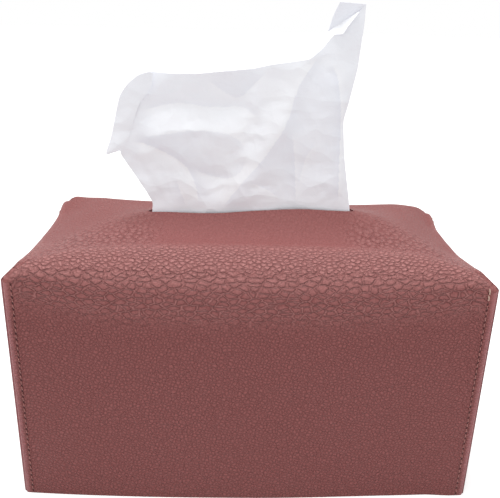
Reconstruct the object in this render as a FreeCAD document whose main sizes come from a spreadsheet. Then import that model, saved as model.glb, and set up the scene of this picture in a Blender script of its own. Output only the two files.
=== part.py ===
# Soft leather tissue box cover: one cross-cut sheet folded down into four walls, sewn at its
# four upright corners, with a slot in its top, a bottom closure and the tissue it dispenses.
# Millimetres, +Z up. Origin: middle of the base. +X runs along the cover, -Y faces the front.
import FreeCAD, Part
import math
import os

from FreeCAD import Placement, Rotation, Vector

COVER = {
    "cover_length": 240.0,        # between the outer faces of the end walls
    "cover_depth": 111.0,         # between the outer faces of the long walls, at their top
    "shoulder_height": 139.0,     # top surface just inside the long walls' rounding
    "corner_drop": 2.0,           # from there down to the top's corners
    "side_drop": 7.0,             # and down to the middle of the fold over an end wall
    "lip_rise": 11.0,             # and up to the slot's lips, pushed up by the tissue
    "shoulder_radius": 22.0,
    "corner_radius": 4.0,
    "fold_radius": 7.0,
    "hem_bulge": 8.5,             # how far the long walls bow out at the hem
    "leather_thickness": 1.1,
    "lining_thickness": 0.4,
    "lining_hem_gap": 0.4,        # the lining ends this far above the leather's edge
    "slot_length": 117.0,
    "slot_width": 10.0,
    "flange_reach": 5.5,          # of a corner seam, out from the walls' corner
    "flange_drop": 4.0,           # from the top's corners down to the seams' upper ends
    "overrun": 5.0,               # how far a cutting shape runs past what it cuts
}
THREAD = {
    "thread_diameter": 0.6,
    "stitch_pitch": 3.4,
    "stitch_length": 2.7,
    "stitch_edge_distance": 3.2,
    "stitch_end_distance": 2.0,
    "patch_stitch_inset": 2.0,
}
STRAP = {
    "strap_width": 40.0,
    "strap_thickness": 1.2,
    "strap_lift": 0.7,            # under the lower strap, above the surface stood on
    "strap_overlap": 26.0,
    "patch_thickness": 0.8,
    "patch_edge_distance": 1.5,
    "patch_gap": 0.3,
    "tab_height": 12.0,
    "tab_gap": 0.3,
    "wall_clearance": 0.6,
}
TISSUE = {
    "tissue_height": 112.0,       # from the lips up to the peak
    "tissue_tail": 20.0,          # below the lips
    "tissue_thickness": 0.8,
    "tissue_fold_depth": 16.0,
    "tissue_lip_gap": 0.4,
    "tissue_end_gap": 2.0,        # beside the slot's ends
    "tissue_lift_off": 2.5,       # lower edge of the overhanging corner, above the lips
}

# The cover is lofted through sections at these shares of the way from its middle to the
# fold over an end wall, and at these angles round the fold
SECTION_SHARES = (0.2, 0.4, 0.55, 0.7, 0.82, 0.92, 1.0)
FOLD_ANGLES = (67.5, 45, 22.5, 0)
# How late each of these falls off on that way: the power of the share
BOW_POWER = 3
RISE_POWER = 2.6
SHOULDER_POWER = 8
RADIUS_POWER = 4
BEND_POWER = 4
# Height halfway from shoulder to lip, as a share of the rise: in the middle, at the end
CROWN_BEND_SHARE = 0.32
FOLD_BEND_SHARE = 0.66

# Columns of the tissue from its left corner to its right edge. Across: shares of half its
# width at the lips, at its waist and at the top. Top: share of its height. Folds: shares of
# the fold depth at the rows above the lips, negative to the front.
ROWS = 5
WAIST_SHARE = 0.42
COLUMN_SHARES = [
    {"across": (-0.99, -0.97, -0.87), "top": 0.680, "folds": (-0.15, -0.45, 0.35)},
    {"across": (-0.66, -0.60, -0.52), "top": 0.675, "folds": (0.15, 0.20, 0.55)},
    {"across": (-0.42, -0.36, -0.28), "top": 0.690, "folds": (-0.20, 0.50, -0.05)},
    {"across": (-0.16, 0.00, 0.18), "top": 0.730, "folds": (-0.75, -0.15, 0.45)},
    {"across": (-0.02, 0.30, 0.50), "top": 0.765, "folds": (-0.95, -0.95, -0.60)},
    {"across": (0.24, 0.46, 0.66), "top": 0.840, "folds": (-0.25, -0.05, 0.10)},
    {"across": (0.36, 0.54, 0.74), "top": 0.990, "folds": (-0.60, -0.10, 0.30)},
    {"across": (0.78, 0.76, 0.88), "top": 1.000, "folds": (0.05, 0.20, 0.05)},
    {"across": (0.99, 0.86, 0.99), "top": 0.985, "folds": (0.45, 0.75, 0.40)},
]
# The corner that hangs out past the slot's left end: its columns have their own lower end
CORNER_SHARES = [
    {"across": -1.42, "bottom": 0.240, "top": 0.310, "folds": (0.55, 0.50)},
    {"across": -1.31, "bottom": 0.275, "top": 0.610, "folds": (0.50, 0.45)},
    {"across": -1.24, "bottom": 0.260, "top": 0.665, "folds": (-0.55, -0.50)},
    {"across": -1.01, "bottom": 0.000, "top": 0.680, "folds": (0.00, 0.35)},
]

doc = FreeCAD.newDocument("tissue_box_cover")
sheet = doc.addObject("Spreadsheet::Sheet", "sizes")


def fill_sheet():
    row = 1
    for group in (COVER, THREAD, STRAP, TISSUE):
        for alias, value in group.items():
            cell = "A%d" % row
            sheet.set(cell, str(value))
            sheet.setAlias(cell, alias)
            row += 1
    doc.recompute()


def size(alias):
    return float(getattr(sheet, alias))


def lip_height():
    return size("shoulder_height") + size("lip_rise")


def flange_height():
    return size("shoulder_height") - size("corner_drop") - size("flange_drop")


def bind(thing, **expressions):
    for name, expression in expressions.items():
        thing.setExpression(name, expression)
    return thing


def bind_base(thing, **expressions):
    for axis, expression in expressions.items():
        thing.setExpression("Placement.Base." + axis, expression)
    return thing


def box(name, length, width, height):
    made = doc.addObject("Part::Box", name)
    return bind(made, Length=length, Width=width, Height=height)


def feature(name, shape):
    made = doc.addObject("Part::Feature", name)
    made.Shape = shape
    return made


def fuse(name, things):
    made = doc.addObject("Part::MultiFuse", name)
    made.Shapes = things
    return made


def cut(name, base, tool):
    made = doc.addObject("Part::Cut", name)
    made.Base = base
    made.Tool = tool
    return made


def arc(first, through, last):
    return Part.Arc(first, through, last).toShape()


# Section of the cover across X: a hem line, two walls, two rounded shoulders, two crown
# arcs that rise to the lips and the line between the lips
def loaf_section(x, hem_z, half_depth, bulge, shoulder_z, crown_z, bend_share, radius):
    lip = size("slot_width") / 2
    wall_z = shoulder_z - radius
    hem_half = half_depth + bulge * (wall_z - hem_z) / wall_z
    lean = math.cos(math.radians(45))
    half = [
        (hem_half, hem_z),
        (half_depth, wall_z),
        (half_depth - radius * (1 - lean), shoulder_z - radius * (1 - lean)),
        (half_depth - radius, shoulder_z),
        ((half_depth - radius + lip) / 2,
         shoulder_z + bend_share * (crown_z - shoulder_z)),
        (lip, crown_z),
    ]
    front = [Vector(x, -y, z) for y, z in half]
    back = [Vector(x, y, z) for y, z in half]
    edges = [
        Part.makeLine(front[0], front[1]),
        arc(front[1], front[2], front[3]),
        arc(front[3], front[4], front[5]),
        Part.makeLine(front[5], back[5]),
        arc(back[5], back[4], back[3]),
        arc(back[3], back[2], back[1]),
        Part.makeLine(back[1], back[0]),
        Part.makeLine(back[0], front[0]),
    ]
    return Part.Wire(edges)


def between(middle, end, share, power):
    return middle + (end - middle) * share ** power


# The whole outside of the cover, or what is inside it by an inset: a ruled loft along X
def loaf(inset, hem_z):
    half_length = size("cover_length") / 2
    fold = size("fold_radius")

    def section(x, share, drop):
        shoulder = size("shoulder_height")
        shoulder_z = shoulder - between(0, size("corner_drop"), share, SHOULDER_POWER)
        crown_z = shoulder + between(size("lip_rise"), -size("side_drop"), share, RISE_POWER)
        return loaf_section(
            x, hem_z, size("cover_depth") / 2 - inset,
            size("hem_bulge") * between(1, 0, share, BOW_POWER),
            shoulder_z - drop, crown_z - drop,
            between(CROWN_BEND_SHARE, FOLD_BEND_SHARE, share, BEND_POWER),
            between(size("shoulder_radius"), size("corner_radius"), share, RADIUS_POWER)
            - inset,
        )

    def half(side):
        made = []
        for share in SECTION_SHARES:
            made.append(section(side * share * (half_length - fold), share, inset))
        for angle in FOLD_ANGLES:
            turn = math.radians(angle)
            x = half_length - fold + (fold - inset) * math.cos(turn)
            made.append(section(side * x, 1, fold - (fold - inset) * math.sin(turn)))
        return made

    wires = list(reversed(half(-1))) + [section(0, 0, inset)] + half(1)
    return Part.makeLoft(wires, True, True, False)


# Upright strip on the diagonal of one corner: it starts at a depth behind the walls' outer
# faces, where they meet, and runs out to the seam's edge
def corner_strip(name, signs, depth, thickness, overrun, bottom, height):
    sign_x, sign_y = signs
    inside = "(%s) * %.9f" % (depth, math.sqrt(2))
    strip = box(name, "%s + sizes.flange_reach + %s" % (inside, overrun), thickness, height)
    angle = math.degrees(math.atan2(sign_y, sign_x))
    strip.Placement = Placement(Vector(), Rotation(Vector(0, 0, 1), angle))
    # The box starts at its own corner, so it is moved back along and across the diagonal
    along_x, along_y = math.cos(math.radians(angle)), math.sin(math.radians(angle))
    return bind_base(
        strip,
        x="%d * sizes.cover_length / 2 - %s * %.9f + (%s) / 2 * %.9f"
          % (sign_x, inside, along_x, thickness, along_y),
        y="%d * sizes.cover_depth / 2 - %s * %.9f - (%s) / 2 * %.9f"
          % (sign_y, inside, along_y, thickness, along_x),
        z=bottom,
    )


CORNERS = {
    "front_left": (-1, -1),
    "front_right": (1, -1),
    "back_left": (-1, 1),
    "back_right": (1, 1),
}
BOTH_SHEETS = "(sizes.leather_thickness + sizes.lining_thickness)"
FLANGE_HEIGHT = "(sizes.shoulder_height - sizes.corner_drop - sizes.flange_drop)"


def slot_box(name):
    made = box(name, "sizes.slot_length", "sizes.slot_width",
               "sizes.lip_rise + sizes.side_drop + 2 * sizes.overrun")
    return bind_base(made, x="-sizes.slot_length / 2", y="-sizes.slot_width / 2",
                     z="sizes.shoulder_height - sizes.side_drop - sizes.overrun")


def make_leather():
    outside = feature("leather_outside", loaf(0, 0))
    inside = feature("leather_inside", loaf(size("leather_thickness"), -size("overrun")))
    shell = cut("leather_shell", outside, inside)
    flanges = [
        corner_strip("flange_" + corner, signs, "sizes.leather_thickness / 2",
                     "2 * " + BOTH_SHEETS, "0", "0", FLANGE_HEIGHT)
        for corner, signs in CORNERS.items()
    ]
    slits = [
        corner_strip("slit_" + corner, signs, "2 * " + BOTH_SHEETS,
                     "2 * sizes.lining_thickness", "sizes.overrun", "-sizes.overrun",
                     FLANGE_HEIGHT + " + 2 * sizes.overrun")
        for corner, signs in CORNERS.items()
    ]
    solid = fuse("leather_solid", [shell] + flanges)
    openings = fuse("leather_openings", [slot_box("leather_slot")] + slits)
    return cut("leather_sheet", solid, openings)


def make_lining():
    both = size("leather_thickness") + size("lining_thickness")
    outside = feature("lining_outside",
                      loaf(size("leather_thickness"), size("lining_hem_gap")))
    inside = feature("lining_inside", loaf(both, -size("overrun")))
    shell = cut("lining_shell", outside, inside)
    plies = [
        corner_strip("ply_" + corner, signs,
                     "sizes.leather_thickness + sizes.lining_thickness / 2",
                     "2 * sizes.lining_thickness", "0", "sizes.lining_hem_gap",
                     FLANGE_HEIGHT + " - sizes.lining_hem_gap")
        for corner, signs in CORNERS.items()
    ]
    solid = fuse("lining_solid", [shell] + plies)
    return cut("lining_sheet", solid, slot_box("lining_slot"))


def stitch(start, direction):
    return Part.makeCylinder(size("thread_diameter") / 2, size("stitch_length"), start,
                             direction)


# A row of stitches from one point to another, as many as the pitch gives
def stitch_row(first, last):
    run = last - first
    count = int((run.Length - size("stitch_length")) / size("stitch_pitch")) + 1
    direction = Vector(run).normalize()
    slack = run.Length - (count - 1) * size("stitch_pitch") - size("stitch_length")
    start = first + direction * (slack / 2)
    return [stitch(start + direction * (n * size("stitch_pitch")), direction)
            for n in range(count)]


def make_seam_thread(corner, signs):
    sign_x, sign_y = signs
    out = Vector(sign_x, sign_y, 0).normalize()
    across = Vector(-out.y, out.x, 0)
    half = size("leather_thickness") + size("lining_thickness")
    distance = size("flange_reach") - size("stitch_edge_distance")
    root = Vector(sign_x * size("cover_length") / 2, sign_y * size("cover_depth") / 2, 0)
    stitches = []
    for side in (-1, 1):
        foot = root + out * distance + across * (side * half)
        bottom = foot + Vector(0, 0, size("stitch_end_distance"))
        top = foot + Vector(0, 0, flange_height() - size("stitch_end_distance"))
        stitches += stitch_row(bottom, top)
    return feature(corner + "_seam_thread", Part.makeCompound(stitches))


# Inner face of a long wall at the hem's middle, at a height: its distance from the middle
def inner_wall(height):
    wall_z = size("shoulder_height") - size("shoulder_radius")
    bow = size("hem_bulge") * (1 - height / wall_z)
    plies = size("leather_thickness") + size("lining_thickness")
    return size("cover_depth") / 2 + bow - plies


def wall_lean():
    wall_z = size("shoulder_height") - size("shoulder_radius")
    return math.degrees(math.atan2(size("hem_bulge"), wall_z))


# Height of the middle of a strap's thickness: the upper one lies over the two patches
def strap_level(upper):
    lower = size("strap_lift") + size("strap_thickness") / 2
    lift = size("strap_thickness") + 2 * size("patch_thickness") + size("patch_gap")
    return lower + lift * upper


# Distance of a strap's hinge line from the middle
def hinge_reach(upper):
    level = strap_level(upper)
    return inner_wall(level) - size("wall_clearance") - size("strap_thickness") / 2


# Flat strip from its hinge line, where it is round, to past the middle
def make_strap(name, side, upper):
    thickness = size("strap_thickness")
    reach = hinge_reach(upper) + size("strap_overlap") / 2
    half_width = size("strap_width") / 2
    hinge_y = side * hinge_reach(upper)
    level = strap_level(upper)
    flat = Part.makeBox(size("strap_width"), reach, thickness)
    flat.translate(Vector(-half_width, min(hinge_y, hinge_y - side * reach),
                          level - thickness / 2))
    barrel = Part.makeCylinder(thickness / 2, size("strap_width"),
                               Vector(-half_width, hinge_y, level), Vector(1, 0, 0))
    return feature(name, flat.fuse(barrel).removeSplitter())


# The strap's sewn root, upright against the lining above its fold
def make_tab(name, side, upper):
    thickness = size("strap_thickness")
    level = strap_level(upper)
    bottom = level + thickness / 2 + size("tab_gap")
    tab = box(name, "sizes.strap_width", "sizes.strap_thickness", "sizes.tab_height")
    turn = Rotation(Vector(1, 0, 0), side * wall_lean())
    outer = inner_wall(bottom) - size("wall_clearance")
    inner_edge = outer - thickness if side > 0 else outer
    tab.Placement = Placement(Vector(0, side * inner_edge, bottom), turn)
    return bind_base(tab, x="-sizes.strap_width / 2")


def make_patch(name, upper):
    thickness = size("patch_thickness")
    width = size("strap_width") - 2 * size("patch_edge_distance")
    depth = size("strap_overlap") - 2 * size("patch_edge_distance")
    face = strap_level(upper) + size("strap_thickness") / 2 * (1 - 2 * upper)
    patch = box(name, "sizes.strap_width - 2 * sizes.patch_edge_distance",
                "sizes.strap_overlap - 2 * sizes.patch_edge_distance",
                "sizes.patch_thickness")
    patch.Placement = Placement(Vector(-width / 2, -depth / 2, face - thickness * upper),
                                Rotation())
    return patch


# Stitches that hold a patch, on the bare face of its strap
def make_patch_stitching(name, upper):
    inset = size("patch_edge_distance") + size("patch_stitch_inset")
    half_x = size("strap_width") / 2 - inset
    half_y = size("strap_overlap") / 2 - inset
    face = strap_level(upper) + size("strap_thickness") / 2 * (2 * upper - 1)
    corners = [Vector(-half_x, -half_y, face), Vector(half_x, -half_y, face),
               Vector(half_x, half_y, face), Vector(-half_x, half_y, face)]
    stitches = []
    for first, last in zip(corners, corners[1:] + corners[:1]):
        shift = (last - first).normalize() * size("thread_diameter")
        stitches += stitch_row(first + shift, last - shift)
    return feature(name, Part.makeCompound(stitches))


# Two rows of stitches through a strap's root and the lining
def make_anchor_stitching(name, side, upper):
    lean = math.radians(wall_lean())
    bottom = strap_level(upper) + size("strap_thickness") / 2 + size("tab_gap")
    half_x = size("strap_width") / 2 - size("patch_stitch_inset")
    inner = inner_wall(bottom) - size("wall_clearance") - size("strap_thickness")
    stitches = []
    for up in (size("patch_stitch_inset"), size("tab_height") - size("patch_stitch_inset")):
        y = side * (inner - up * math.sin(lean))
        z = bottom + up * math.cos(lean)
        stitches += stitch_row(Vector(-half_x, y, z), Vector(half_x, y, z))
    return feature(name, Part.makeCompound(stitches))


# Points up one face of the tissue, one row each
def column_points(column):
    half = size("slot_length") / 2 - size("tissue_end_gap")
    lips = lip_height()
    tall = size("tissue_height")
    depth = size("tissue_fold_depth")
    front = -size("slot_width") / 2 + size("tissue_lip_gap")
    if "bottom" in column:
        low = lips + size("tissue_lift_off") + column["bottom"] * tall
        high = lips + column["top"] * tall
        low_fold, high_fold = [share * depth for share in column["folds"]]
        steps = [n / (ROWS - 1) for n in range(ROWS)]
        return [Vector(column["across"] * half, front + between(low_fold, high_fold, step, 1),
                       between(low, high, step, 1)) for step in steps]
    lip_x, waist_x, top_x = [share * half for share in column["across"]]
    low_fold, waist_fold, top_fold = [share * depth for share in column["folds"]]
    high = column["top"] * tall
    waist = WAIST_SHARE * tall
    return [
        Vector(lip_x, front, lips - size("tissue_tail")),
        Vector(lip_x, front, lips + size("tissue_lift_off")),
        Vector((lip_x + waist_x) / 2, front + low_fold, lips + waist / 2),
        Vector(waist_x, front + waist_fold, lips + waist),
        Vector(top_x, front + top_fold, lips + high),
    ]


# The tissue: a thin ruled loft across its columns, closed by a strip at each side
def make_tissue():
    through = Vector(0, size("tissue_thickness"), 0)
    loops = []
    for column in CORNER_SHARES + COLUMN_SHARES:
        face = column_points(column)
        loops.append(face + [point + through for point in reversed(face)])
    wires = [Part.makePolygon(loop + loop[:1]) for loop in loops]
    skin = Part.makeLoft(wires, False, True, False)
    strips = []
    for loop in (loops[0], loops[-1]):
        rows = len(loop) // 2
        for n in range(rows - 1):
            corners = [loop[n], loop[n + 1], loop[-2 - n], loop[-1 - n]]
            strips.append(Part.Face(Part.makePolygon(corners + corners[:1])))
    solid = Part.makeSolid(Part.makeShell(skin.Faces + strips))
    if solid.Volume < 0:
        solid.reverse()
    return feature("tissue_sheet", solid)


def make_parts():
    parts = [make_leather(), make_lining()]
    parts += [make_seam_thread(corner, signs) for corner, signs in CORNERS.items()]
    parts += [
        make_strap("outer_strap", -1, False),
        make_tab("outer_strap_root", -1, False),
        make_patch("loop_patch", False),
        make_patch_stitching("loop_patch_stitching", False),
        make_anchor_stitching("outer_strap_root_stitching", -1, False),
        make_strap("inner_strap", 1, True),
        make_tab("inner_strap_root", 1, True),
        make_patch("hook_patch", True),
        make_patch_stitching("hook_patch_stitching", True),
        make_anchor_stitching("inner_strap_root_stitching", 1, True),
        make_tissue(),
    ]
    return parts


def check(parts):
    for thing in doc.Objects:
        if "Invalid" in thing.State or "Error" in thing.State:
            raise RuntimeError("%s failed: %s" % (thing.Name, thing.State))
    for part in parts:
        if part.Shape.isNull() or not part.Shape.isValid():
            raise RuntimeError("%s has no valid shape" % part.Name)


fill_sheet()
parts = make_parts()
doc.recompute()
check(parts)
os.makedirs("parts", exist_ok=True)
for part in parts:
    part.Label = part.Name
    part.Shape.exportStep("parts/%s.step" % part.Label)
    box_now = part.Shape.BoundBox
    print("%-28s solids %3d volume %9.1f  x %.1f..%.1f  y %.1f..%.1f  z %.1f..%.1f" % (
        part.Label, len(part.Shape.Solids), part.Shape.Volume, box_now.XMin, box_now.XMax,
        box_now.YMin, box_now.YMax, box_now.ZMin, box_now.ZMax))
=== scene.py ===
import math

import bpy
import numpy as np
from mathutils import Matrix, Vector
from mathutils.geometry import delaunay_2d_cdt


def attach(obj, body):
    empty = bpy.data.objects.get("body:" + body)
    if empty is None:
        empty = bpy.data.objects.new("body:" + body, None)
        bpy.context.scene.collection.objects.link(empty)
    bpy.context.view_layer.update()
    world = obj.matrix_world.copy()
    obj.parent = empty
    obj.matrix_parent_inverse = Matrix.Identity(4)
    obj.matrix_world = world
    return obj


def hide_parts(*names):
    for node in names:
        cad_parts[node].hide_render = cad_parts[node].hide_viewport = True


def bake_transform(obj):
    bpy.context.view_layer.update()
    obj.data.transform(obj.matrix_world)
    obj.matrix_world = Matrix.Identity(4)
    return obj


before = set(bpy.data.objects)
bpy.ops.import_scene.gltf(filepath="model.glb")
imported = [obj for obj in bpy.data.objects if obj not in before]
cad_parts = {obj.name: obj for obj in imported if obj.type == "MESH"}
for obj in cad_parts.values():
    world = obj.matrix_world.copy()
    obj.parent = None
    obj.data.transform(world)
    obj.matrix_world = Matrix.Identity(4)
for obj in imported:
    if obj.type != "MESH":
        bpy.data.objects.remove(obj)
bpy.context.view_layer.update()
mm = 0.001  # every shape is worked out in millimetres; meshFrom and setUv turn it into metres
scene = bpy.context.scene
print("frame loaded")


# the camera
cameraPlace = dict(
    location=(-0.0113, -0.3616, 0.2658), pitch=21.2, yaw=1.78, roll=1.65,
    lens=47.83, sensor=36.0, nearest=0.01, farthest=50.0,
)


def makeCamera(place):
    # looks along +Y, turned by yaw about Z, tipped down by pitch, then rolled about its own axis
    pitch, yaw, roll = (math.radians(place[k]) for k in ("pitch", "yaw", "roll"))
    ahead = Vector((math.sin(yaw) * math.cos(pitch), math.cos(yaw) * math.cos(pitch), -math.sin(pitch)))
    right = Vector((math.cos(yaw), -math.sin(yaw), 0))
    down = ahead.cross(right)
    across = math.cos(roll) * right - math.sin(roll) * down
    up = -(math.sin(roll) * right + math.cos(roll) * down)
    data = bpy.data.cameras.new("photoCamera")
    data.lens, data.sensor_width = place["lens"], place["sensor"]
    data.clip_start, data.clip_end = place["nearest"], place["farthest"]
    camera = bpy.data.objects.new("photoCamera", data)
    turn = Matrix((across, up, -ahead)).transposed().to_4x4()
    camera.matrix_world = Matrix.Translation(place["location"]) @ turn
    scene.collection.objects.link(camera)
    scene.camera = camera


makeCamera(cameraPlace)


# mesh helpers

def meshFrom(name, points, faces):
    # points in mm, faces as one array of quads or triangles; the object stays at the origin
    points, faces = np.asarray(points, float), np.asarray(faces, int)
    mesh = bpy.data.meshes.new(name)
    mesh.vertices.add(len(points))
    mesh.vertices.foreach_set("co", (points * mm).astype(np.float32).ravel())
    mesh.loops.add(faces.size)
    mesh.loops.foreach_set("vertex_index", faces.ravel())
    mesh.polygons.add(len(faces))
    mesh.polygons.foreach_set("loop_start", np.arange(0, faces.size, faces.shape[1]))
    mesh.update(calc_edges=True)
    mesh.validate()
    made = bpy.data.objects.new(name, mesh)
    scene.collection.objects.link(made)
    return made


def shadeSmooth(made, sharpAngle):
    mesh = made.data
    mesh.polygons.foreach_set("use_smooth", np.ones(len(mesh.polygons), bool))
    mesh.set_sharp_from_angle(angle=math.radians(sharpAngle))


def gridFaces(rows, columns, loopRows=False, loopColumns=False):
    # quads of a rows x columns grid stored row by row, joined end to start where it loops
    r = np.arange(rows if loopRows else rows - 1)[:, None]
    c = np.arange(columns if loopColumns else columns - 1)[None, :]
    r2, c2 = (r + 1) % rows, (c + 1) % columns
    quads = [r * columns + c, r * columns + c2, r2 * columns + c2, r2 * columns + c]
    return np.stack(quads, -1).reshape(-1, 4)


def slabFaces(rows, columns):
    # a grid, its copy turned over, whose points follow the grid's own, and the rim between them
    right = np.arange(1, rows) * columns + columns - 1
    far = (rows - 1) * columns + np.arange(columns - 2, -1, -1)
    left = np.arange(rows - 2, 0, -1) * columns
    rim = np.concatenate([np.arange(columns), right, far, left])
    after = np.roll(rim, -1)
    total = rows * columns
    grid = gridFaces(rows, columns)
    wall = np.stack([rim, rim + total, after + total, after], 1)
    return np.concatenate([grid, grid[:, ::-1] + total, wall])


def tubeFaces(rings, sides, caps, count):
    # this many tubes, one after another, each a row of rings with both its ends closed by the caps
    wall = gridFaces(rings, sides, loopColumns=True)
    one = np.concatenate([wall, caps[:, ::-1], caps + (rings - 1) * sides])
    firsts = np.arange(count) * rings * sides
    return (one[None] + firsts[:, None, None]).reshape(-1, 4)


def setAttribute(made, name, values):
    layer = made.data.attributes.new(name, "FLOAT", "POINT")
    layer.data.foreach_set("value", np.asarray(values, np.float32).ravel())


def setUv(made, pointUv):
    # one UV pair per vertex, its place on the flat sheet
    mesh = made.data
    layer = mesh.uv_layers.new(name="flatSheet")
    corner = np.zeros(len(mesh.loops), int)
    mesh.loops.foreach_get("vertex_index", corner)
    layer.data.foreach_set("uv", (pointUv[corner] * mm).astype(np.float32).ravel())


def smoothStep(x, low=0.0, high=1.0):
    # 3 t^2 - 2 t^3, where t runs from 0 at low to 1 at high
    t = np.clip((x - low) / (high - low), 0, 1)
    return t * t * (3 - 2 * t)


def softLine(x, knots, values, reach=8.0):
    # straight pieces through the knots, averaged over a stretch so that the corners are rounded
    offsets = np.linspace(-reach, reach, 9)
    return np.mean([np.interp(x + o, knots, values) for o in offsets], axis=0)


def runAlong(points):
    # how far along the line of points each one lies
    return np.concatenate([[0], np.cumsum(np.linalg.norm(np.diff(points, axis=0), axis=1))])


def easedLine(points, run, share, passes):
    # the line of points at shares of its run; each pass averages (1, 2, 1) / 4 and softens its corners
    line = np.stack([np.interp(share, run / run[-1], column) for column in points.T], -1)
    for _ in range(passes):
        line[1:-1] = (line[:-2] + 2 * line[1:-1] + line[2:]) / 4
    return line


def valueNoise(x, y, seed, size=64):
    # a grid of random heights, joined by smooth steps
    grid = np.random.default_rng(seed).uniform(-1, 1, (size, size))
    i, j = np.floor(x).astype(int), np.floor(y).astype(int)
    u, v = smoothStep(x - i), smoothStep(y - j)

    def pick(a, b):
        return grid[(i + a) % size, (j + b) % size]

    return (pick(0, 0) * (1 - u) + pick(1, 0) * u) * (1 - v) + (pick(0, 1) * (1 - u) + pick(1, 1) * u) * v


# material helpers

def newMaterial(name):
    material = bpy.data.materials.new(name)
    material.use_nodes = True
    material.node_tree.nodes.clear()
    return material, material.node_tree


def addNode(tree, kind, inputs=None, **settings):
    # inputs: socket name or number -> a constant, or another node's output to link
    made = tree.nodes.new("ShaderNode" + kind)
    for key, value in settings.items():
        setattr(made, key, value)
    for key, value in (inputs or {}).items():
        if isinstance(value, bpy.types.NodeSocket):
            tree.links.new(value, made.inputs[key])
        else:
            made.inputs[key].default_value = value
    return made


def calc(tree, operation, a, b=0.0, c=0.0, clamp=False):
    return addNode(tree, "Math", {0: a, 1: b, 2: c}, operation=operation, use_clamp=clamp).outputs[0]


def times(tree, a, b):
    return calc(tree, "MULTIPLY", a, b)


def larger(tree, a, b):
    return calc(tree, "MAXIMUM", a, b)


def vectorCalc(tree, operation, inputs):
    return addNode(tree, "VectorMath", inputs, operation=operation).outputs[0]


def rampOf(tree, value, low, high, toLow=0.0, toHigh=1.0, smooth=True):
    kind = "SMOOTHSTEP" if smooth else "LINEAR"
    inputs = {0: value, 1: low, 2: high, 3: toLow, 4: toHigh}
    return addNode(tree, "MapRange", inputs, interpolation_type=kind).outputs[0]


def mixColour(tree, share, a, b):
    return addNode(tree, "Mix", {0: share, 6: a, 7: b}, data_type="RGBA").outputs[2]


def attributeOf(tree, name):
    return addNode(tree, "Attribute", attribute_name=name).outputs["Fac"]


def sheetUv(tree):
    return addNode(tree, "UVMap", uv_map="flatSheet").outputs[0]


def noiseOf(tree, vector, scale, detail=2.0, roughness=0.5, output="Fac"):
    inputs = {"Vector": vector, "Scale": scale, "Detail": detail, "Roughness": roughness}
    return addNode(tree, "TexNoise", inputs).outputs[output]


def mapped(tree, vector, scale, turn=(0.0, 0.0, 0.0)):
    return addNode(tree, "Mapping", {"Vector": vector, "Scale": scale, "Rotation": turn}).outputs[0]


def spreadUv(tree, uv, wide, tall, turn):
    # the UV in units of a pattern this wide and tall, in mm, and turned
    return mapped(tree, uv, (1 / (wide * mm), 1 / (tall * mm), 1.0), (0, 0, turn))


def driftedUv(tree, uv, reach, centre, scale, roughness=0.5):
    # the UV moved about by soft noise: (noise - centre) x reach, in mm
    noise = noiseOf(tree, uv, scale, roughness=roughness, output="Color")
    centred = vectorCalc(tree, "SUBTRACT", {0: noise, 1: (centre, centre, centre)})
    nudge = vectorCalc(tree, "SCALE", {0: centred, "Scale": reach * mm})
    return vectorCalc(tree, "ADD", {0: uv, 1: nudge})


def cellsOf(tree, vector, feature, scale=1.0, randomness=1.0):
    # distance to the cell's border or, with feature F1, to its middle
    inputs = {"Vector": vector, "Scale": scale, "Randomness": randomness}
    made = addNode(tree, "TexVoronoi", inputs, feature=feature, voronoi_dimensions="2D")
    return made.outputs["Distance"]


def linear(red, green, blue):
    # an sRGB colour, 0 to 255, as Blender's linear values
    c = np.array([red, green, blue]) / 255
    return (*np.where(c <= 0.04045, c / 12.92, ((c + 0.055) / 1.055) ** 2.4), 1.0)


def finishMaterial(tree, colour, roughness, height, bumpDistance, bumpStrength=1.0, **constants):
    # constants: the shader's other sockets by name, with _ for a space
    bump = addNode(tree, "Bump", {"Strength": bumpStrength, "Distance": bumpDistance, "Height": height})
    inputs = {"Base Color": colour, "Roughness": roughness, "Normal": bump.outputs[0]}
    inputs.update({key.replace("_", " "): value for key, value in constants.items()})
    shader = addNode(tree, "BsdfPrincipled", inputs)
    addNode(tree, "OutputMaterial", {"Surface": shader.outputs[0]})


# the leather cover
leather = dict(
    halfLength=120.0, halfDepth=55.5, thickness=1.1, slotHalfLength=58.5, slotHalfWidth=5.0, slotPower=6,
    frontRadius=22.0, cornerRadius=1.2, endFold=7.0, endFoldAtCorner=3.4, endEdge=0.965,
    fallPower=1.8, ridgeBlunt=0.35, bluntFrom=(52, 72),
    hemDepth=64.0, hemPower=2.6, wallBulge=0.18,
    hemEasing=1.6, easedTo=80, easedFrom=100, easedBeforeTip=4,  # the hems of the right half stand back
    drawnFrom=62.0, drawnPower=2.4,  # from this far along, the walls draw out to the seams
    flangeReach=5.5, flangeHalf=1.5, plyGap=0.42, grooveEnd=2.6, earTipRound=1.3,
    tipEdge=((0.15, 1.4), (0.35, 1.6), (0.55, 1.85), (0.75, 2.1)), tipCrest=(0.9, 2.3),
    tipHeights=((130.4, 129.0), (128.0, 125.8)),  # front left and right, back left and right
    tipReach=((20.0, 14.0), (12.0, 24.0)),  # along x and y, in front and at the back
    innerFromTip=0.45, innerBack=0.3, innerSqueeze=0.25, innerFromJoin=0.1,
    frontStations=70, frontCrowding=1.3, flangeStations=8, endStations=28, endCrowding=1.2,
    topRows=44, roundRows=14, wallRows=24, innerRows=(16, 7, 9), rowEase=0.25, lipShare=0.995,
    leastDrop=0.3, relaxPasses=6, relaxWeight=0.5, relaxFade=6, foldedOutBy=12, sharpAngle=42,
    stitchFromTip=3.2, stitchPitch=3.4, seamSpan=20.0, roughness=0.5,
    colour=linear(144, 84, 82), paleColour=linear(144, 88, 85), mottleAndFurrowShade=linear(104, 54, 53),
    stretchAndHighlightColour=linear(180, 124, 121), cutColour=linear(172, 112, 114), holeShadeColour=linear(76, 32, 33),
)
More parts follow.
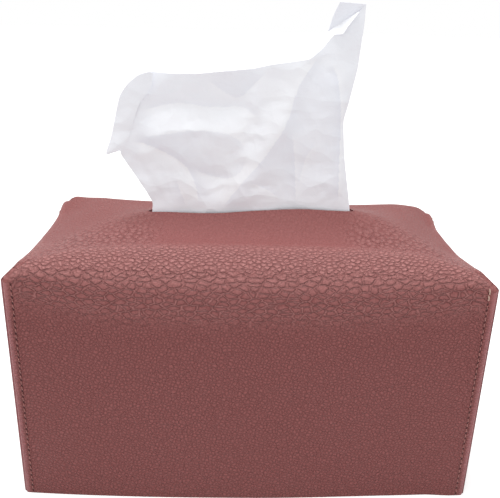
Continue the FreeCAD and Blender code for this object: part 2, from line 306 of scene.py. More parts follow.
crownKnots = dict(  # the ridge line along y = 0: the slot's lips, then down to both ends
    x=[-125, -113, -92, -72, -58.5, -50, -20, 0, 28, 56, 64, 82, 100, 113, 125],
    z=[134.5, 135.8, 139.6, 144.8, 147.9, 148.8, 148.5, 150.5,
       152.3, 150.8, 149.6, 144.4, 136.8, 132.2, 130.3],
)
shoulder = dict(  # height of the long edges before they round down, and how far it falls near the ends
    front=139.6, frontLeftFall=1.8, frontRightFall=2.8, frontPower=8,
    back=142.0, backLeftFall=2.0, backRightFall=6.5, backPower=12,
)
endSag = dict(  # how much both ends' edges sag below that, along y, from the front to the back
    y=[-62, -55, -50, -44, -30, -15, 0, 10, 20, 32, 42, 50, 62],
    left=[0.9, 0.7, -0.8, -1.2, -1.5, -1.3, -1.0, -1.9, -2.9, -4.0, -2.6, -0.4, 0.3],
    right=[0.0, 0.2, -1.4, -2.3, -2.7, -2.8, -1.9, -2.6, -3.2, -4.3, -2.2, 0.2, 0.6],
    reach=3, span=(92, 114),
)
tipX = leather["halfLength"] + (leather["flangeReach"] - leather["flangeHalf"]) / math.sqrt(2)
tipY = -leather["halfDepth"] - (leather["flangeReach"] + leather["flangeHalf"]) / math.sqrt(2)


def fromCorner(out, side):
    # plan points of the front right corner's flange: so far outwards on the diagonal, so far to its side
    corner = np.array([leather["halfLength"], -leather["halfDepth"]])
    outwards, sideways = np.array([1, -1]) / math.sqrt(2), np.array([-1, -1]) / math.sqrt(2)
    return corner + np.multiply.outer(out, outwards) + np.multiply.outer(side, sideways)


def edgeRadius(x):
    # of the long edges: from frontRadius to cornerRadius with the fourth power of x
    u = np.clip(np.abs(x) / tipX, 0, 1)
    return leather["frontRadius"] + (leather["cornerRadius"] - leather["frontRadius"]) * u**4


def wallEase(low):
    # 0 where the wall starts and 1 at the hem: a straight line with a share of a quarter sine
    return (1 - leather["wallBulge"]) * low + leather["wallBulge"] * np.sin(low * math.pi / 2)


def frontLine(x, low):
    # plan depth of the front and back walls' outer face. The upper line draws out to the seams
    # near the corners, the hem bulges in the middle, and both end at the seam's tip
    k = leather
    drawn = np.clip((np.abs(x) - k["drawnFrom"]) / (tipX - k["drawnFrom"]), 0, 1) ** k["drawnPower"]
    upper = -k["halfDepth"] + (tipY + k["halfDepth"]) * drawn
    hem = -k["hemDepth"] + (tipY + k["hemDepth"]) * (np.abs(x) / tipX) ** k["hemPower"]
    return upper + (hem - upper) * wallEase(low)


def slotHalf(x):
    # half width of the slot: a long slit, pulled open, pointed at its ends
    share = np.clip(np.abs(x) / leather["slotHalfLength"], 0, 1)
    return leather["slotHalfWidth"] * np.sqrt(1 - share ** leather["slotPower"])


def topHeight(x, y):
    # the crown line falls to the long edge's shoulder height, steeply beside the slot and flatter
    # outwards, and close to each corner the top sinks to the tip where two walls are sewn together
    k, s = leather, shoulder
    isFront, isLeft = y < 0, x < 0
    u = np.clip(np.abs(x) / (k["halfLength"] - k["endFold"]), 0, 1)
    front = s["front"] - np.where(isLeft, s["frontLeftFall"], s["frontRightFall"]) * u ** s["frontPower"]
    back = s["back"] - np.where(isLeft, s["backLeftFall"], s["backRightFall"]) * u ** s["backPower"]
    low = np.where(isFront, front, back)
    crown = softLine(x, crownKnots["x"], crownKnots["z"])
    inner = slotHalf(x)
    v = np.clip((np.abs(y) - inner) / (k["halfDepth"] - edgeRadius(x) - inner), 0, 1)
    blunt = k["ridgeBlunt"] * smoothStep(np.abs(x), *k["bluntFrom"])  # past the slot it is rounded
    v = (np.hypot(v, blunt) - blunt) / (np.hypot(1, blunt) - blunt)
    height = low + (crown - low) * (1 - v) ** k["fallPower"]
    left, right = (softLine(y, endSag["y"], endSag[end], endSag["reach"]) for end in ("left", "right"))
    height = height + np.where(isLeft, left, right) * smoothStep(np.abs(x), *endSag["span"])
    tip = np.where(isFront, *(np.where(isLeft, *pair) for pair in k["tipHeights"]))
    reachX, reachY = (np.where(isFront, *pair) for pair in zip(*k["tipReach"]))
    far = np.hypot((tipX - np.abs(x)) / reachX, (-tipY - np.abs(y)) / reachY)
    return height + (tip - height) * smoothStep(1 - far)


def quarterStations(inset):
    # one quarter of the ring of spokes, from the middle of the front to the middle of the right end.
    # lip: where the spoke starts at the slot; edge: where the top starts to round; wall: where the
    # spoke goes down; hem: where it ends
    k = leather
    half, reach, gap, deep = k["flangeHalf"], k["flangeReach"], k["plyGap"], k["grooveEnd"]
    joinY = -k["halfDepth"] + half * math.sqrt(2)
    tipPoint = np.array([tipX, tipY])
    q = 1 - (1 - np.linspace(0, 1, k["frontStations"])) ** k["frontCrowding"]
    x = tipX * q
    frontWall, frontHem = (np.stack([x, frontLine(x, low)], 1) for low in (0.0, 1.0))
    frontEdge = np.stack([x, frontLine(x, 0.0) + edgeRadius(x)], 1)
    p = np.linspace(0, 1, k["endStations"] + 1)[1:] ** k["endCrowding"]
    y = joinY * (1 - p)
    endRound = k["endFold"] + (k["endFoldAtCorner"] - k["endFold"]) * np.abs(y / joinY) ** 4
    endWall = np.stack([np.full_like(y, k["halfLength"]), y], 1)
    endEdge = np.stack([k["halfLength"] - endRound, y * k["endEdge"]], 1)
    s = 1 - np.linspace(0, 1, k["flangeStations"])
    tip = fromCorner(np.array([reach, deep, deep, reach]), np.array([gap, gap, -gap, -gap]))
    endFace = fromCorner(-half + (reach + half) * s, np.full_like(s, -half))
    root = np.array([k["halfLength"] - k["endFoldAtCorner"], joinY * k["endEdge"]])
    endCrest = root + (tipPoint + k["tipCrest"] - root) * s[:, None]
    cornerWall = np.concatenate([tip, endFace])
    if inset > 0:  # the inner surface turns the corner without going into the flange
        frontWall, frontHem = frontWall + [0, inset], frontHem + [0, inset]
        endWall = endWall - [inset, 0]
        inX, inY = k["halfLength"] - inset, tipY + inset + k["innerFromTip"]
        beyond = frontWall[:, 0] > inX
        for line in (frontWall, frontHem):
            past = (line[beyond, 0] - inX) / (tipX - inX)
            line[beyond, 0] = inX - k["innerBack"] + k["innerSqueeze"] * past
        turn = np.linspace(0, 1, len(cornerWall))[:, None]
        cornerWall = np.array([inX, inY]) * (1 - turn) + np.array([inX, joinY - k["innerFromJoin"]]) * turn
    zeros, ends = np.zeros(4), np.zeros(len(y))
    lipX = k["slotHalfLength"] * k["lipShare"] * (2 * q - q * q)
    frontLip = np.stack([lipX, -slotHalf(lipX)], 1)
    turned = np.linspace(0, 1, len(cornerWall) + len(y) + 1)[1:]
    lastX, lastY = frontLip[-1]
    turnX = lastX + (k["slotHalfLength"] - lastX) * (1 - (1 - turned) ** 2)
    turnLip = np.stack([turnX, lastY * (1 - turned)], 1)
    flangeDrop = k["endFoldAtCorner"] + (k["earTipRound"] - k["endFoldAtCorner"]) * s
    return dict(
        wall=np.concatenate([frontWall, cornerWall, endWall]),
        hem=np.concatenate([frontHem, cornerWall, endWall]),
        edge=np.concatenate([frontEdge, tipPoint + np.array(k["tipEdge"]), endCrest, endEdge]),
        lip=np.concatenate([frontLip, turnLip]),
        drop=np.concatenate([edgeRadius(x), zeros + k["earTipRound"], flangeDrop, endRound]),
        inGroove=np.concatenate([0 * x, zeros + 1, 0 * s, ends]),
        fromTip=np.concatenate([
            tipX - x, zeros - k["seamSpan"], (reach + half) * (1 - s), ends + 2 * k["seamSpan"],
        ]),
        isEnd=np.concatenate([0 * x, [0, 0, 1, 1], 0 * s + 1, ends + 1]),
        cutAlong=np.concatenate([x, tipX + zeros, -(reach + half) * s, ends]),
    )


def ringStations(inset):
    # mirrors the quarter four times, in one closed ring that runs anticlockwise seen from above
    k, quarter = leather, quarterStations(inset)
    ring = {key: [] for key in quarter}
    ring["mirror"] = []
    rest = slice(1, None)
    for signX, signY, turn, cut in (
        (1, 1, 1, slice(None)), (1, -1, -1, rest), (-1, -1, 1, rest), (-1, 1, -1, slice(1, -1)),
    ):
        for key, values in quarter.items():
            part = values[::turn][cut]
            if part.ndim == 2:
                part = part * np.array([signX, signY])
            ring[key].append(part)
        ring["mirror"].append(np.tile([signX, signY], (len(part), 1)))
    ring = {key: np.concatenate(values) for key, values in ring.items()}
    x = ring["hem"][:, 0]
    eased = smoothStep(x, 0, k["easedTo"]) * smoothStep(x, tipX - k["easedBeforeTip"], k["easedFrom"])
    ring["hem"][:, 1] += ring["mirror"][:, 1] * k["hemEasing"] * eased
    return ring


def shellRows(inset, topRows, roundRows, wallRows, lift=0.0):
    # rows of the surface at this depth under the leather's outer face, from the slot's lip to the hem:
    # a straight blend in plan under topHeight, a quarter ellipse, and the eased wall
    ring = ringStations(inset)
    w = np.linspace(0, 1, topRows)
    w = (1 - leather["rowEase"]) * w + leather["rowEase"] * smoothStep(w)
    plan = ring["lip"][None] + (ring["edge"] - ring["lip"])[None] * w[:, None, None]
    edgeHeight = topHeight(ring["edge"][:, 0], ring["edge"][:, 1])
    top = topHeight(plan[..., 0], plan[..., 1])
    rows = [np.dstack([plan, top - inset])]
    a = np.linspace(0, math.pi / 2, roundRows + 1)[1:, None]
    drop = np.maximum(ring["drop"] - inset, leather["leastDrop"])[None]
    roundPlan = ring["edge"][None] + (ring["wall"] - ring["edge"])[None] * np.sin(a)[..., None]
    rows.append(np.dstack([roundPlan, edgeHeight[None] - inset - drop * (1 - np.cos(a))]))
    h = np.linspace(0, 1, wallRows + 1)[1:, None]
    wallTop = edgeHeight - inset - drop[0]
    bend = wallEase(h)[..., None]
    wallPlan = ring["wall"][None] * (1 - bend) + ring["hem"][None] * bend
    rows.append(np.dstack([wallPlan, wallTop[None] * (1 - h) + lift * h]))
    return np.concatenate(rows), ring


def relax(rows, ring, first, last, passes):
    # evens out the top and its rounding by averaging with neighbours; the flange's plies stay crisp
    keep = np.zeros(rows.shape[:2])
    keep[first:last] = 1
    fade = smoothStep(np.arange(rows.shape[0]), last, last - leather["relaxFade"])[:, None]
    weight = (keep * fade * (1 - ring["inGroove"][None]))[..., None] * leather["relaxWeight"]
    for _ in range(passes):
        around = (np.roll(rows, 1, 1) + np.roll(rows, -1, 1)) / 4
        around[1:-1] += (rows[2:] + rows[:-2]) / 4
        rows = rows + weight * (around - rows)
    return rows


def flatUv(rows, ring, topRows):
    # the cross-shaped cut: the top lies as it is, and each wall folds out from its edge by its
    # length down the spoke
    steps = np.linalg.norm(np.diff(rows, axis=0), axis=2)
    down = np.concatenate([np.zeros((1, rows.shape[1])), np.cumsum(steps, 0)])
    down = np.maximum(down - down[topRows - 1][None], 0)
    share = smoothStep(down, 0, leather["foldedOutBy"])
    signX, signY = ring["mirror"][:, 0][None], ring["mirror"][:, 1][None]
    edgeX, edgeY = ring["edge"][:, 0][None], ring["edge"][:, 1][None]
    alongFront = signX * ring["cutAlong"][None]
    alongEnd = ring["wall"][:, 1][None] + signY * np.where(ring["isEnd"] > 0, ring["cutAlong"], 0)[None]
    front = edgeX * (1 - share) + alongFront * share, edgeY - signY * down
    end = edgeX + signX * down, edgeY * (1 - share) + alongEnd * share
    front, end = (np.stack(np.broadcast_arrays(*pair), -1) for pair in (front, end))
    uv = np.where(ring["isEnd"][None, :, None] > 0.5, end, front)
    uv[:topRows] = rows[:topRows, :, :2]
    return uv


grainSpread = dict(  # from where to where each size of pebble grows from none to all
    fromSlot=(14, 34), fromEnd=(124, 116),  # |y| and |x| in mm
    boldTurn=(0.36, 0.66), boldRows=(4.2, 1.2), footTurn=(0.6, 1.0),  # share of the rounding, rows below it
    middleStart=(-0.8, 0.0), middleLength=1.15, middleTurn=(0.72, 0.5), middleOnTop=0.06,
    hipX=(42, 64), hipLimit=(88, 0.75), hipFade=(8, -6),
    hipNear=(0.35, 14, -6), hipFar=(0.4, -6, -26),  # strength, and y in mm
    fineOnTop=0.3, fineRows=(0.6, 3.6), fineOnHip=0.2,
)


def grainMap(rows, topRows, roundRows):
    # sizes of pebble: bold along the foot of the front and back roundings, middling above it, deeper
    # ones over the hips, where the top slopes from the slot's ends to the front corners, and fine on
    # the walls; the rest is nearly plain
    g = grainSpread
    x, y = np.abs(rows[..., 0]), rows[..., 1]
    row = np.arange(rows.shape[0])[:, None] - (topRows - 1)  # 0 where the top ends
    below, turned = row - roundRows, row / roundRows
    onTop, hipX = row <= 0, smoothStep(x, *g["hipX"])
    front = smoothStep(np.abs(y), *g["fromSlot"]) * smoothStep(x, *g["fromEnd"])
    bold = front * smoothStep(turned, *g["boldTurn"]) * smoothStep(below, *g["boldRows"])
    start = np.where(y < 0, *g["middleStart"])
    middle = front * smoothStep((turned - start) / g["middleLength"]) * smoothStep(turned, *g["middleTurn"])
    hipLimit = g["hipLimit"][0] - g["hipLimit"][1] * y
    hip = hipX * smoothStep(x - hipLimit, *g["hipFade"]) * onTop * (1 - middle)
    hip = hip * sum(strength * smoothStep(y, *span) for strength, *span in (g["hipNear"], g["hipFar"]))
    fine = g["fineOnTop"] + (1 - g["fineOnTop"]) * smoothStep(below, *g["fineRows"])
    fine = fine + g["fineOnHip"] * hipX * onTop
    middle = np.maximum(middle, g["middleOnTop"] * onTop)
    foot = bold * smoothStep(turned, *g["footTurn"])
    return dict(boldGrain=bold, middleGrain=middle, hipGrain=hip, fineGrain=fine, footGrain=foot)


def makeLeather():
    # the outer face, evened out, and the inner face a leather's thickness in, joined at the slot and
    # the hem; its grain, raw edges and distance from the stitch line are attributes for the material
    k = leather
    counts = (k["topRows"], k["roundRows"], k["wallRows"])
    roundEnd = k["topRows"] + k["roundRows"]
    outer, ring = shellRows(0.0, *counts)
    outer = relax(outer, ring, 1, roundEnd, k["relaxPasses"])
    inner, _ = shellRows(k["thickness"], *k["innerRows"])
    uv = flatUv(outer, ring, k["topRows"])
    # each inner row takes the UV of the outer row over it
    topEnd = k["topRows"] - 1
    spans = ((0, topEnd, 0), (2, k["roundRows"], topEnd), (3, k["wallRows"], roundEnd - 1))
    pick = np.concatenate([
        start + np.round(np.linspace(low, high, count))
        for (low, high, start), count in zip(spans, k["innerRows"])
    ]).astype(int)
    points = np.concatenate([outer, inner[::-1]])
    rows, columns = points.shape[:2]
    cover = meshFrom("leatherCover", points.reshape(-1, 3), gridFaces(rows, columns, True, True)[:, ::-1])
    setUv(cover, np.concatenate([uv, uv[pick][::-1]]).reshape(-1, 2))
    inside = np.zeros((len(inner), columns))
    for name, depth in grainMap(outer, k["topRows"], k["roundRows"]).items():
        setAttribute(cover, name, np.concatenate([depth, inside]))
    edge = np.zeros((rows, columns))
    edge[k["topRows"] + k["roundRows"] // 2:, ring["inGroove"] > 0] = 1
    edge[len(outer):] = 1
    setAttribute(cover, "cutEdge", edge)
    span = k["seamSpan"]
    seam = np.repeat(np.clip(ring["fromTip"] - k["stitchFromTip"], -span, span)[None], rows, 0)
    seam[: roundEnd - 1] = span
    seam[len(outer):] = span
    setAttribute(cover, "seamOffset", seam)
    shadeSmooth(cover, k["sharpAngle"])
    return cover


grain = dict(
    # each size of pebble: width, height and depth in mm, the turn of its pattern, its furrow's width
    bold=(5.6, 2.9, 2.0, 0.75, 0.24), middle=(2.9, 1.9, 1.15, 0.7, 0.28),
    hip=(3.1, 3.3, 1.1, 0.6, 0.28), fine=(1.9, 1.7, 0.75, 0.3, 0.34),
    randomness=0.8, domePower=1.6, crownReach=(0.6, 0.1), furrowShare=0.7,
    drift=2.2, driftScale=320.0, driftRoughness=0.55,
    poreDepth=0.05, poreScale=1500.0, waveDepth=0.5, waveScale=26.0,
    # shades with four numbers: the span of the noise or distance, and the shade at each end of it
    patchScale=14.0, patchShade=(0.3, 0.75, 0.0, 0.16),
    mottleScale=700.0, mottleShade=(0.4, 0.6, 0.0, 0.25), tipShade=(-1.0, -2.8, 0.0, 0.7),
    bendFurrow=0.6, boldCrown=0.3, furrowPaintedShade=0.55, footEdgeHighlight=0.45, crownHighlight=0.55, bendPaleAndLight=0.55,
    holeLean=0.22, holeSquash=0.42, holeEdge=(0.5, 0.24), holeDepth=0.5, holePaintedShade=0.9,
    puckerReach=(1.1, 0.1), puckerDepth=0.2, cutShade=0.85,
    glossSpan=(0.2, 0.8), glossVary=(-0.05, 0.08), cutRoughness=0.25, specular=0.24,
)


def leatherMaterial():
    # dyed, pebbled hide: the height is the sum of four sizes of pebbles, pores and waves, less the holes
    k, g = leather, grain
    material, tree = newMaterial("roseLeather")
    uv = sheetUv(tree)
    cut, seam = attributeOf(tree, "cutEdge"), attributeOf(tree, "seamOffset")
    foot, uncut = attributeOf(tree, "footGrain"), calc(tree, "SUBTRACT", 1.0, cut)
    drifted = driftedUv(tree, uv, g["drift"], 0.5, g["driftScale"], g["driftRoughness"])

    def pebbles(size):
        # domed grains with a furrow along their borders: their height in mm, furrow and crown
        wide, tall, deep, turn, furrow = g[size]
        spread = spreadUv(tree, drifted, wide, tall, turn)
        rim = cellsOf(tree, spread, "DISTANCE_TO_EDGE", randomness=g["randomness"])
        dome = cellsOf(tree, spread, "F1", randomness=g["randomness"])
        body = rampOf(tree, rim, 0.0, furrow)
        domed = calc(tree, "SUBTRACT", 1.0, calc(tree, "POWER", dome, g["domePower"]))
        share = times(tree, attributeOf(tree, size + "Grain"), uncut)
        height = calc(tree, "MULTIPLY_ADD", domed, 0.5, times(tree, body, 0.5))
        line = rampOf(tree, rim, furrow * g["furrowShare"], 0.0)
        crown = rampOf(tree, dome, *g["crownReach"])
        height = times(tree, height, times(tree, share, deep))
        return height, times(tree, line, share), times(tree, crown, share)

    height, furrow, crown = {}, {}, {}
    for size in ("bold", "middle", "hip", "fine"):
        height[size], furrow[size], crown[size] = pebbles(size)
    pores = noiseOf(tree, uv, g["poreScale"], detail=3.0, roughness=0.6)
    wave = noiseOf(tree, uv, g["waveScale"])
    skin = calc(tree, "ADD", height["bold"], height["hip"])
    skin = calc(tree, "ADD", skin, calc(tree, "ADD", height["middle"], height["fine"]))
    skin = calc(tree, "MULTIPLY_ADD", pores, g["poreDepth"], skin)
    skin = calc(tree, "MULTIPLY_ADD", wave, g["waveDepth"], skin)
    # needle holes: slanted slits on the seam line, one between two stitches
    z = addNode(tree, "SeparateXYZ", {0: addNode(tree, "TexCoord").outputs["Object"]}).outputs["Z"]
    step = calc(tree, "FRACT", times(tree, z, 1 / (k["stitchPitch"] * mm)))
    along = times(tree, calc(tree, "SUBTRACT", step, 0.5), k["stitchPitch"])
    leaning = calc(tree, "MULTIPLY_ADD", along, g["holeLean"], seam)
    squashed = times(tree, along, g["holeSquash"])
    squares = [calc(tree, "POWER", part, 2.0) for part in (squashed, leaning)]
    hole = rampOf(tree, calc(tree, "SQRT", calc(tree, "ADD", *squares)), *g["holeEdge"])
    pucker = times(tree, rampOf(tree, calc(tree, "ABSOLUTE", seam), *g["puckerReach"]), g["puckerDepth"])
    skin = calc(tree, "SUBTRACT", skin, calc(tree, "MULTIPLY_ADD", hole, g["holeDepth"], pucker))
    # colour: painted shade in the small furrows, painted highlights on the crowns and along the bold
    # pebbles' borders at the foot, paler over the roundings (partly the stretched grain's own tone, partly
    # painted light), a slow drift over the hide, a pinker raw edge and painted shade in the holes
    patchy = noiseOf(tree, uv, g["patchScale"], detail=3.0, roughness=0.6)
    mottle = noiseOf(tree, uv, g["mottleScale"], roughness=0.6)
    # paler over the roundings: partly the stretched grain's own paler tone, partly painted light
    bend = larger(tree, attributeOf(tree, "boldGrain"), attributeOf(tree, "middleGrain"))
    bend = calc(tree, "SUBTRACT", bend, foot, clamp=True)
    # painted shade in the furrows of the middle, hip and fine pebbles
    deepest = times(tree, larger(tree, furrow["middle"], furrow["hip"]), g["bendFurrow"])
    deepest = larger(tree, deepest, furrow["fine"])
    # painted highlight along the bold pebbles' borders at the foot of the roundings, for their lit upper
    # edges
    litFootEdges = times(tree, furrow["bold"], foot)
    # painted highlight on the pebbles' crowns
    crowns = larger(tree, crown["middle"], crown["hip"])
    crowns = calc(tree, "MULTIPLY_ADD", crown["bold"], g["boldCrown"], crowns)
    atTip = rampOf(tree, seam, *g["tipShade"])
    tint = k["colour"]
    for share, tone in (
        (rampOf(tree, patchy, *g["patchShade"]), "paleColour"),
        (rampOf(tree, mottle, *g["mottleShade"]), "mottleAndFurrowShade"),
        (times(tree, bend, g["bendPaleAndLight"]), "stretchAndHighlightColour"),
        (times(tree, deepest, g["furrowPaintedShade"]), "mottleAndFurrowShade"),
        (times(tree, litFootEdges, g["footEdgeHighlight"]), "stretchAndHighlightColour"),
        (times(tree, crowns, g["crownHighlight"]), "stretchAndHighlightColour"),
        (larger(tree, times(tree, cut, g["cutShade"]), atTip), "cutColour"),
        # painted shade in the needle holes
        (times(tree, hole, g["holePaintedShade"]), "holeShadeColour"),
    ):
        tint = mixColour(tree, share, tint, k[tone])
    varied = (k["roughness"] + change for change in g["glossVary"])
    rough = rampOf(tree, patchy, *g["glossSpan"], *varied)
    rough = calc(tree, "MULTIPLY_ADD", cut, g["cutRoughness"], rough, clamp=True)
    finishMaterial(tree, tint, rough, skin, mm, Specular_IOR_Level=g["specular"])
    return material


leatherCover = makeLeather()
leatherCover.data.materials.append(leatherMaterial())
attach(leatherCover, "cover")
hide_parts("leather_sheet")
print("leather made", len(leatherCover.data.polygons), "faces")


# the lining, bonded to the leather's inner face
lining = dict(
    outerInset=1.13, innerInset=1.5, hemGap=0.5, topRows=14, roundRows=7, wallRows=8, sharpAngle=42,
    plyDeep=2.8, plyOut=5.25, plyHalf=0.38, plyTop=127.5, plyTopCut=0.4,
    felt=dict(colour=linear(176, 150, 146), dark=linear(150, 122, 118), scale=3200.0, depth=0.15),
)


def makeLining():
    # the leather's own surface further in, at two depths, joined at the slot and the hem
    k = lining
    counts = (k["topRows"], k["roundRows"], k["wallRows"], k["hemGap"])
    outside, ring = shellRows(k["outerInset"], *counts)
    inside, _ = shellRows(k["innerInset"], *counts)
    points = np.concatenate([outside, inside[::-1]])
    rows, columns = points.shape[:2]
    faces = gridFaces(rows, columns, True, True)[:, ::-1]
    uv = flatUv(outside, ring, k["topRows"])
    # both plies of the lining that show in each flange's cut edge, as one thin upright strip a corner
    out, half = np.array([k["plyDeep"], k["plyOut"], k["plyOut"], k["plyDeep"]]), k["plyHalf"]
    side = np.array([half, half, -half, -half])
    topOut = out - np.array([0, 1, 1, 0]) * k["plyTopCut"]
    foot = np.column_stack([fromCorner(out, side), np.full(4, k["hemGap"])])
    head = np.column_stack([fromCorner(topOut, side), np.full(4, k["plyTop"])])
    strip = np.concatenate([foot, head])
    box = np.array([[0, 1, 2, 3], [7, 6, 5, 4], [4, 5, 1, 0], [5, 6, 2, 1], [6, 7, 3, 2], [7, 4, 0, 3]])
    allPoints, allFaces, count = [points.reshape(-1, 3)], [faces], rows * columns
    for signX, signY in ((1, 1), (1, -1), (-1, -1), (-1, 1)):
        allPoints.append(strip * np.array([signX, signY, 1]))
        allFaces.append((box if signX * signY > 0 else box[:, ::-1]) + count)
        count += len(strip)
    made = meshFrom("liningSheet", np.concatenate(allPoints), np.concatenate(allFaces))
    flat = np.concatenate([uv, uv[::-1]]).reshape(-1, 2)
    setUv(made, np.concatenate([flat, np.concatenate(allPoints[1:])[:, [0, 2]]]))
    shadeSmooth(made, k["sharpAngle"])
    return made


feltFinish = dict(
    stretch=0.3, detail=4.0, tintSpan=(0.35, 0.65), roughness=0.92, bumpStrength=0.8,
    sheen=0.3, sheenRoughness=0.5,
)


def feltMaterial(name, colour, dark, scale, depth):
    # short matted fibres, their depth in mm: the higher of two noises, one stretched along the sheet
    # and one across
    k = feltFinish
    material, tree = newMaterial(name)
    uv, short = sheetUv(tree), scale * k["stretch"]
    ways = (mapped(tree, uv, stretch) for stretch in ((scale, short, 1.0), (short, scale, 1.0)))
    fibre = larger(tree, *(noiseOf(tree, way, 1.0, k["detail"]) for way in ways))
    tint = mixColour(tree, rampOf(tree, fibre, *k["tintSpan"]), dark, colour)
    sheen = dict(Sheen_Weight=k["sheen"], Sheen_Roughness=k["sheenRoughness"])
    finishMaterial(tree, tint, k["roughness"], fibre, depth * mm, k["bumpStrength"], **sheen)
    return material


liningSheet = makeLining()
liningSheet.data.materials.append(feltMaterial("feltLining", **lining["felt"]))
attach(liningSheet, "cover")
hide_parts("lining_sheet")
print("lining made")


# threads: the seams' stitches follow the drawn-out corners, the tapes' stitches get a thread's finish
stitches = dict(
    count=37, length=2.4, radius=0.24, sunk=0.2, arch=0.5, slant=0.22, sides=8, rings=7, sharpAngle=60,
    endPower=6, endShare=0.05,  # how late it narrows, and the square of its radius there
    backstitches=((127.6, 3.6), (124.2, 3.2)),  # height and length of each
    backRadius=0.4, backFrom=122,
    seamColour=linear(198, 134, 126), seamDark=linear(160, 98, 92), paleColour=linear(214, 178, 160),
    tapeColour=linear(120, 74, 72), tapeDark=linear(84, 46, 46),
    strandScale=2600.0, strandTurn=(0.6, 0.5, 0.7), fuzzScale=6000.0, fuzzShare=0.4, strandDepth=0.08,
    roughness=0.6,
)


def capsules(name, centres, outwards, across, lengths, radii, pale):
    # each stitch is a thread that leaves one hole, arches over the leather and dives into the next:
    # its line runs along z, slants a little to one side and rises along outwards, and its ends close
    k = stitches
    t = np.linspace(0, 1, k["rings"])[None, :, None]
    rise = -k["sunk"] + k["arch"] * np.sin(t * math.pi)
    line = centres[:, None, :] + outwards[:, None, :] * rise
    line = line + across[:, None, :] * (t - 0.5) * 2 * k["slant"]
    line = line + np.array([0, 0, 1.0]) * (t - 0.5) * lengths[:, None, None]
    narrowing = np.clip(1 - (2 * t - 1) ** k["endPower"], k["endShare"], 1)
    full = np.sqrt(narrowing) * radii[:, None, None]
    a = np.linspace(0, 2 * math.pi, k["sides"], endpoint=False)[None, None, :, None]
    ring = outwards[:, None, None, :] * np.cos(a) + across[:, None, None, :] * np.sin(a)
    points = line[:, :, None, :] + full[:, :, None, :] * ring
    caps = np.array([[0, 1, 2, 3], [0, 3, 4, 7], [4, 5, 6, 7]])
    faces = tubeFaces(k["rings"], k["sides"], caps, len(centres))
    made = meshFrom(name, points.reshape(-1, 3), faces)
    setAttribute(made, "paleThread", np.repeat(pale, k["rings"] * k["sides"]))
    shadeSmooth(made, k["sharpAngle"])
    return made


def makeSeam(name, signX, signY, backstitched):
    # both faces of one corner's seam, a stitch at each pitch; the front face's row lies on the drawn-out
    # wall, the end face's on the flange
    k = stitches
    z = leather["stitchPitch"] * np.arange(1, k["count"] + 1)
    if backstitched:
        z = z[z < k["backFrom"]]
    wallTop = leather["tipHeights"][signY < 0][signX > 0] - leather["earTipRound"]
    x = tipX - leather["stitchFromTip"]
    allZ = np.concatenate([z, [b[0] for b in k["backstitches"]]]) if backstitched else z
    frontRow = np.stack([np.full_like(allZ, x), frontLine(x, np.clip(1 - allZ / wallTop, 0, 1)), allZ], 1)
    slope = np.array([(frontLine(x + 1, 0.5) - frontLine(x - 1, 0.5)) / 2, -1.0, 0.0])
    slope /= np.linalg.norm(slope)
    endX, endY = fromCorner(leather["flangeReach"] - leather["stitchFromTip"], -leather["flangeHalf"])
    endRow = np.stack([np.full_like(z, endX), np.full_like(z, endY), z], 1)
    endOut = np.array([1.0, 1.0, 0.0]) / math.sqrt(2)
    flip = np.array([signX, signY, 1.0])
    centres = np.concatenate([frontRow, endRow]) * flip
    outwards = np.concatenate([np.tile(slope, (len(allZ), 1)), np.tile(endOut, (len(z), 1))]) * flip
    across = np.cross(outwards, [0.0, 0.0, 1.0])
    lengths, radii, pale = (np.full(len(centres), v) for v in (k["length"], k["radius"], 0.0))
    if backstitched:
        rows = slice(len(z), len(allZ))
        lengths[rows], radii[rows], pale[rows] = [b[1] for b in k["backstitches"]], k["backRadius"], 1.0
    return capsules(name, centres, outwards, across, lengths, radii, pale)


def threadMaterial(name, colour, dark):
    # twisted strands: slanting waves with a fine fuzz
    k = stitches
    material, tree = newMaterial(name)
    place = addNode(tree, "TexCoord").outputs["Object"]
    turned = mapped(tree, place, (1.0, 1.0, 1.0), k["strandTurn"])
    wave = {"Vector": turned, "Scale": k["strandScale"], "Distortion": 1.2, "Detail": 2.0}
    strands = addNode(tree, "TexWave", wave).outputs["Fac"]
    fuzz = noiseOf(tree, place, k["fuzzScale"])
    tint = mixColour(tree, strands, dark, colour)
    tint = mixColour(tree, attributeOf(tree, "paleThread"), tint, k["paleColour"])
    height = calc(tree, "MULTIPLY_ADD", fuzz, k["fuzzShare"], strands)
    finishMaterial(tree, tint, k["roughness"], height, k["strandDepth"] * mm, Sheen_Weight=0.2)
    return material


seamThread = threadMaterial("roseThread", stitches["seamColour"], stitches["seamDark"])
tapeThread = threadMaterial("tapeThread", stitches["tapeColour"], stitches["tapeDark"])


def dressNode(node, material):
    # a solid that keeps its own shape and only gets a finish
    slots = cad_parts[node].material_slots
    if slots:
        slots[0].material = material
    else:
        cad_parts[node].data.materials.append(material)


for name, node, signX, signY in (
    ("frontLeftSeam", "front_left_seam_thread", -1, 1), ("frontRightSeam", "front_right_seam_thread", 1, 1),
    ("backLeftSeam", "back_left_seam_thread", -1, -1), ("backRightSeam", "back_right_seam_thread", 1, -1),
):
    seam = makeSeam(name, signX, signY, name == "frontRightSeam")
    seam.data.materials.append(seamThread)
    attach(seam, "cover")
    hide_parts(node)
for node in ("loop_patch", "hook_patch", "outer_strap_root", "inner_strap_root"):
    dressNode(node + "_stitching", tapeThread)
print("threads dressed")


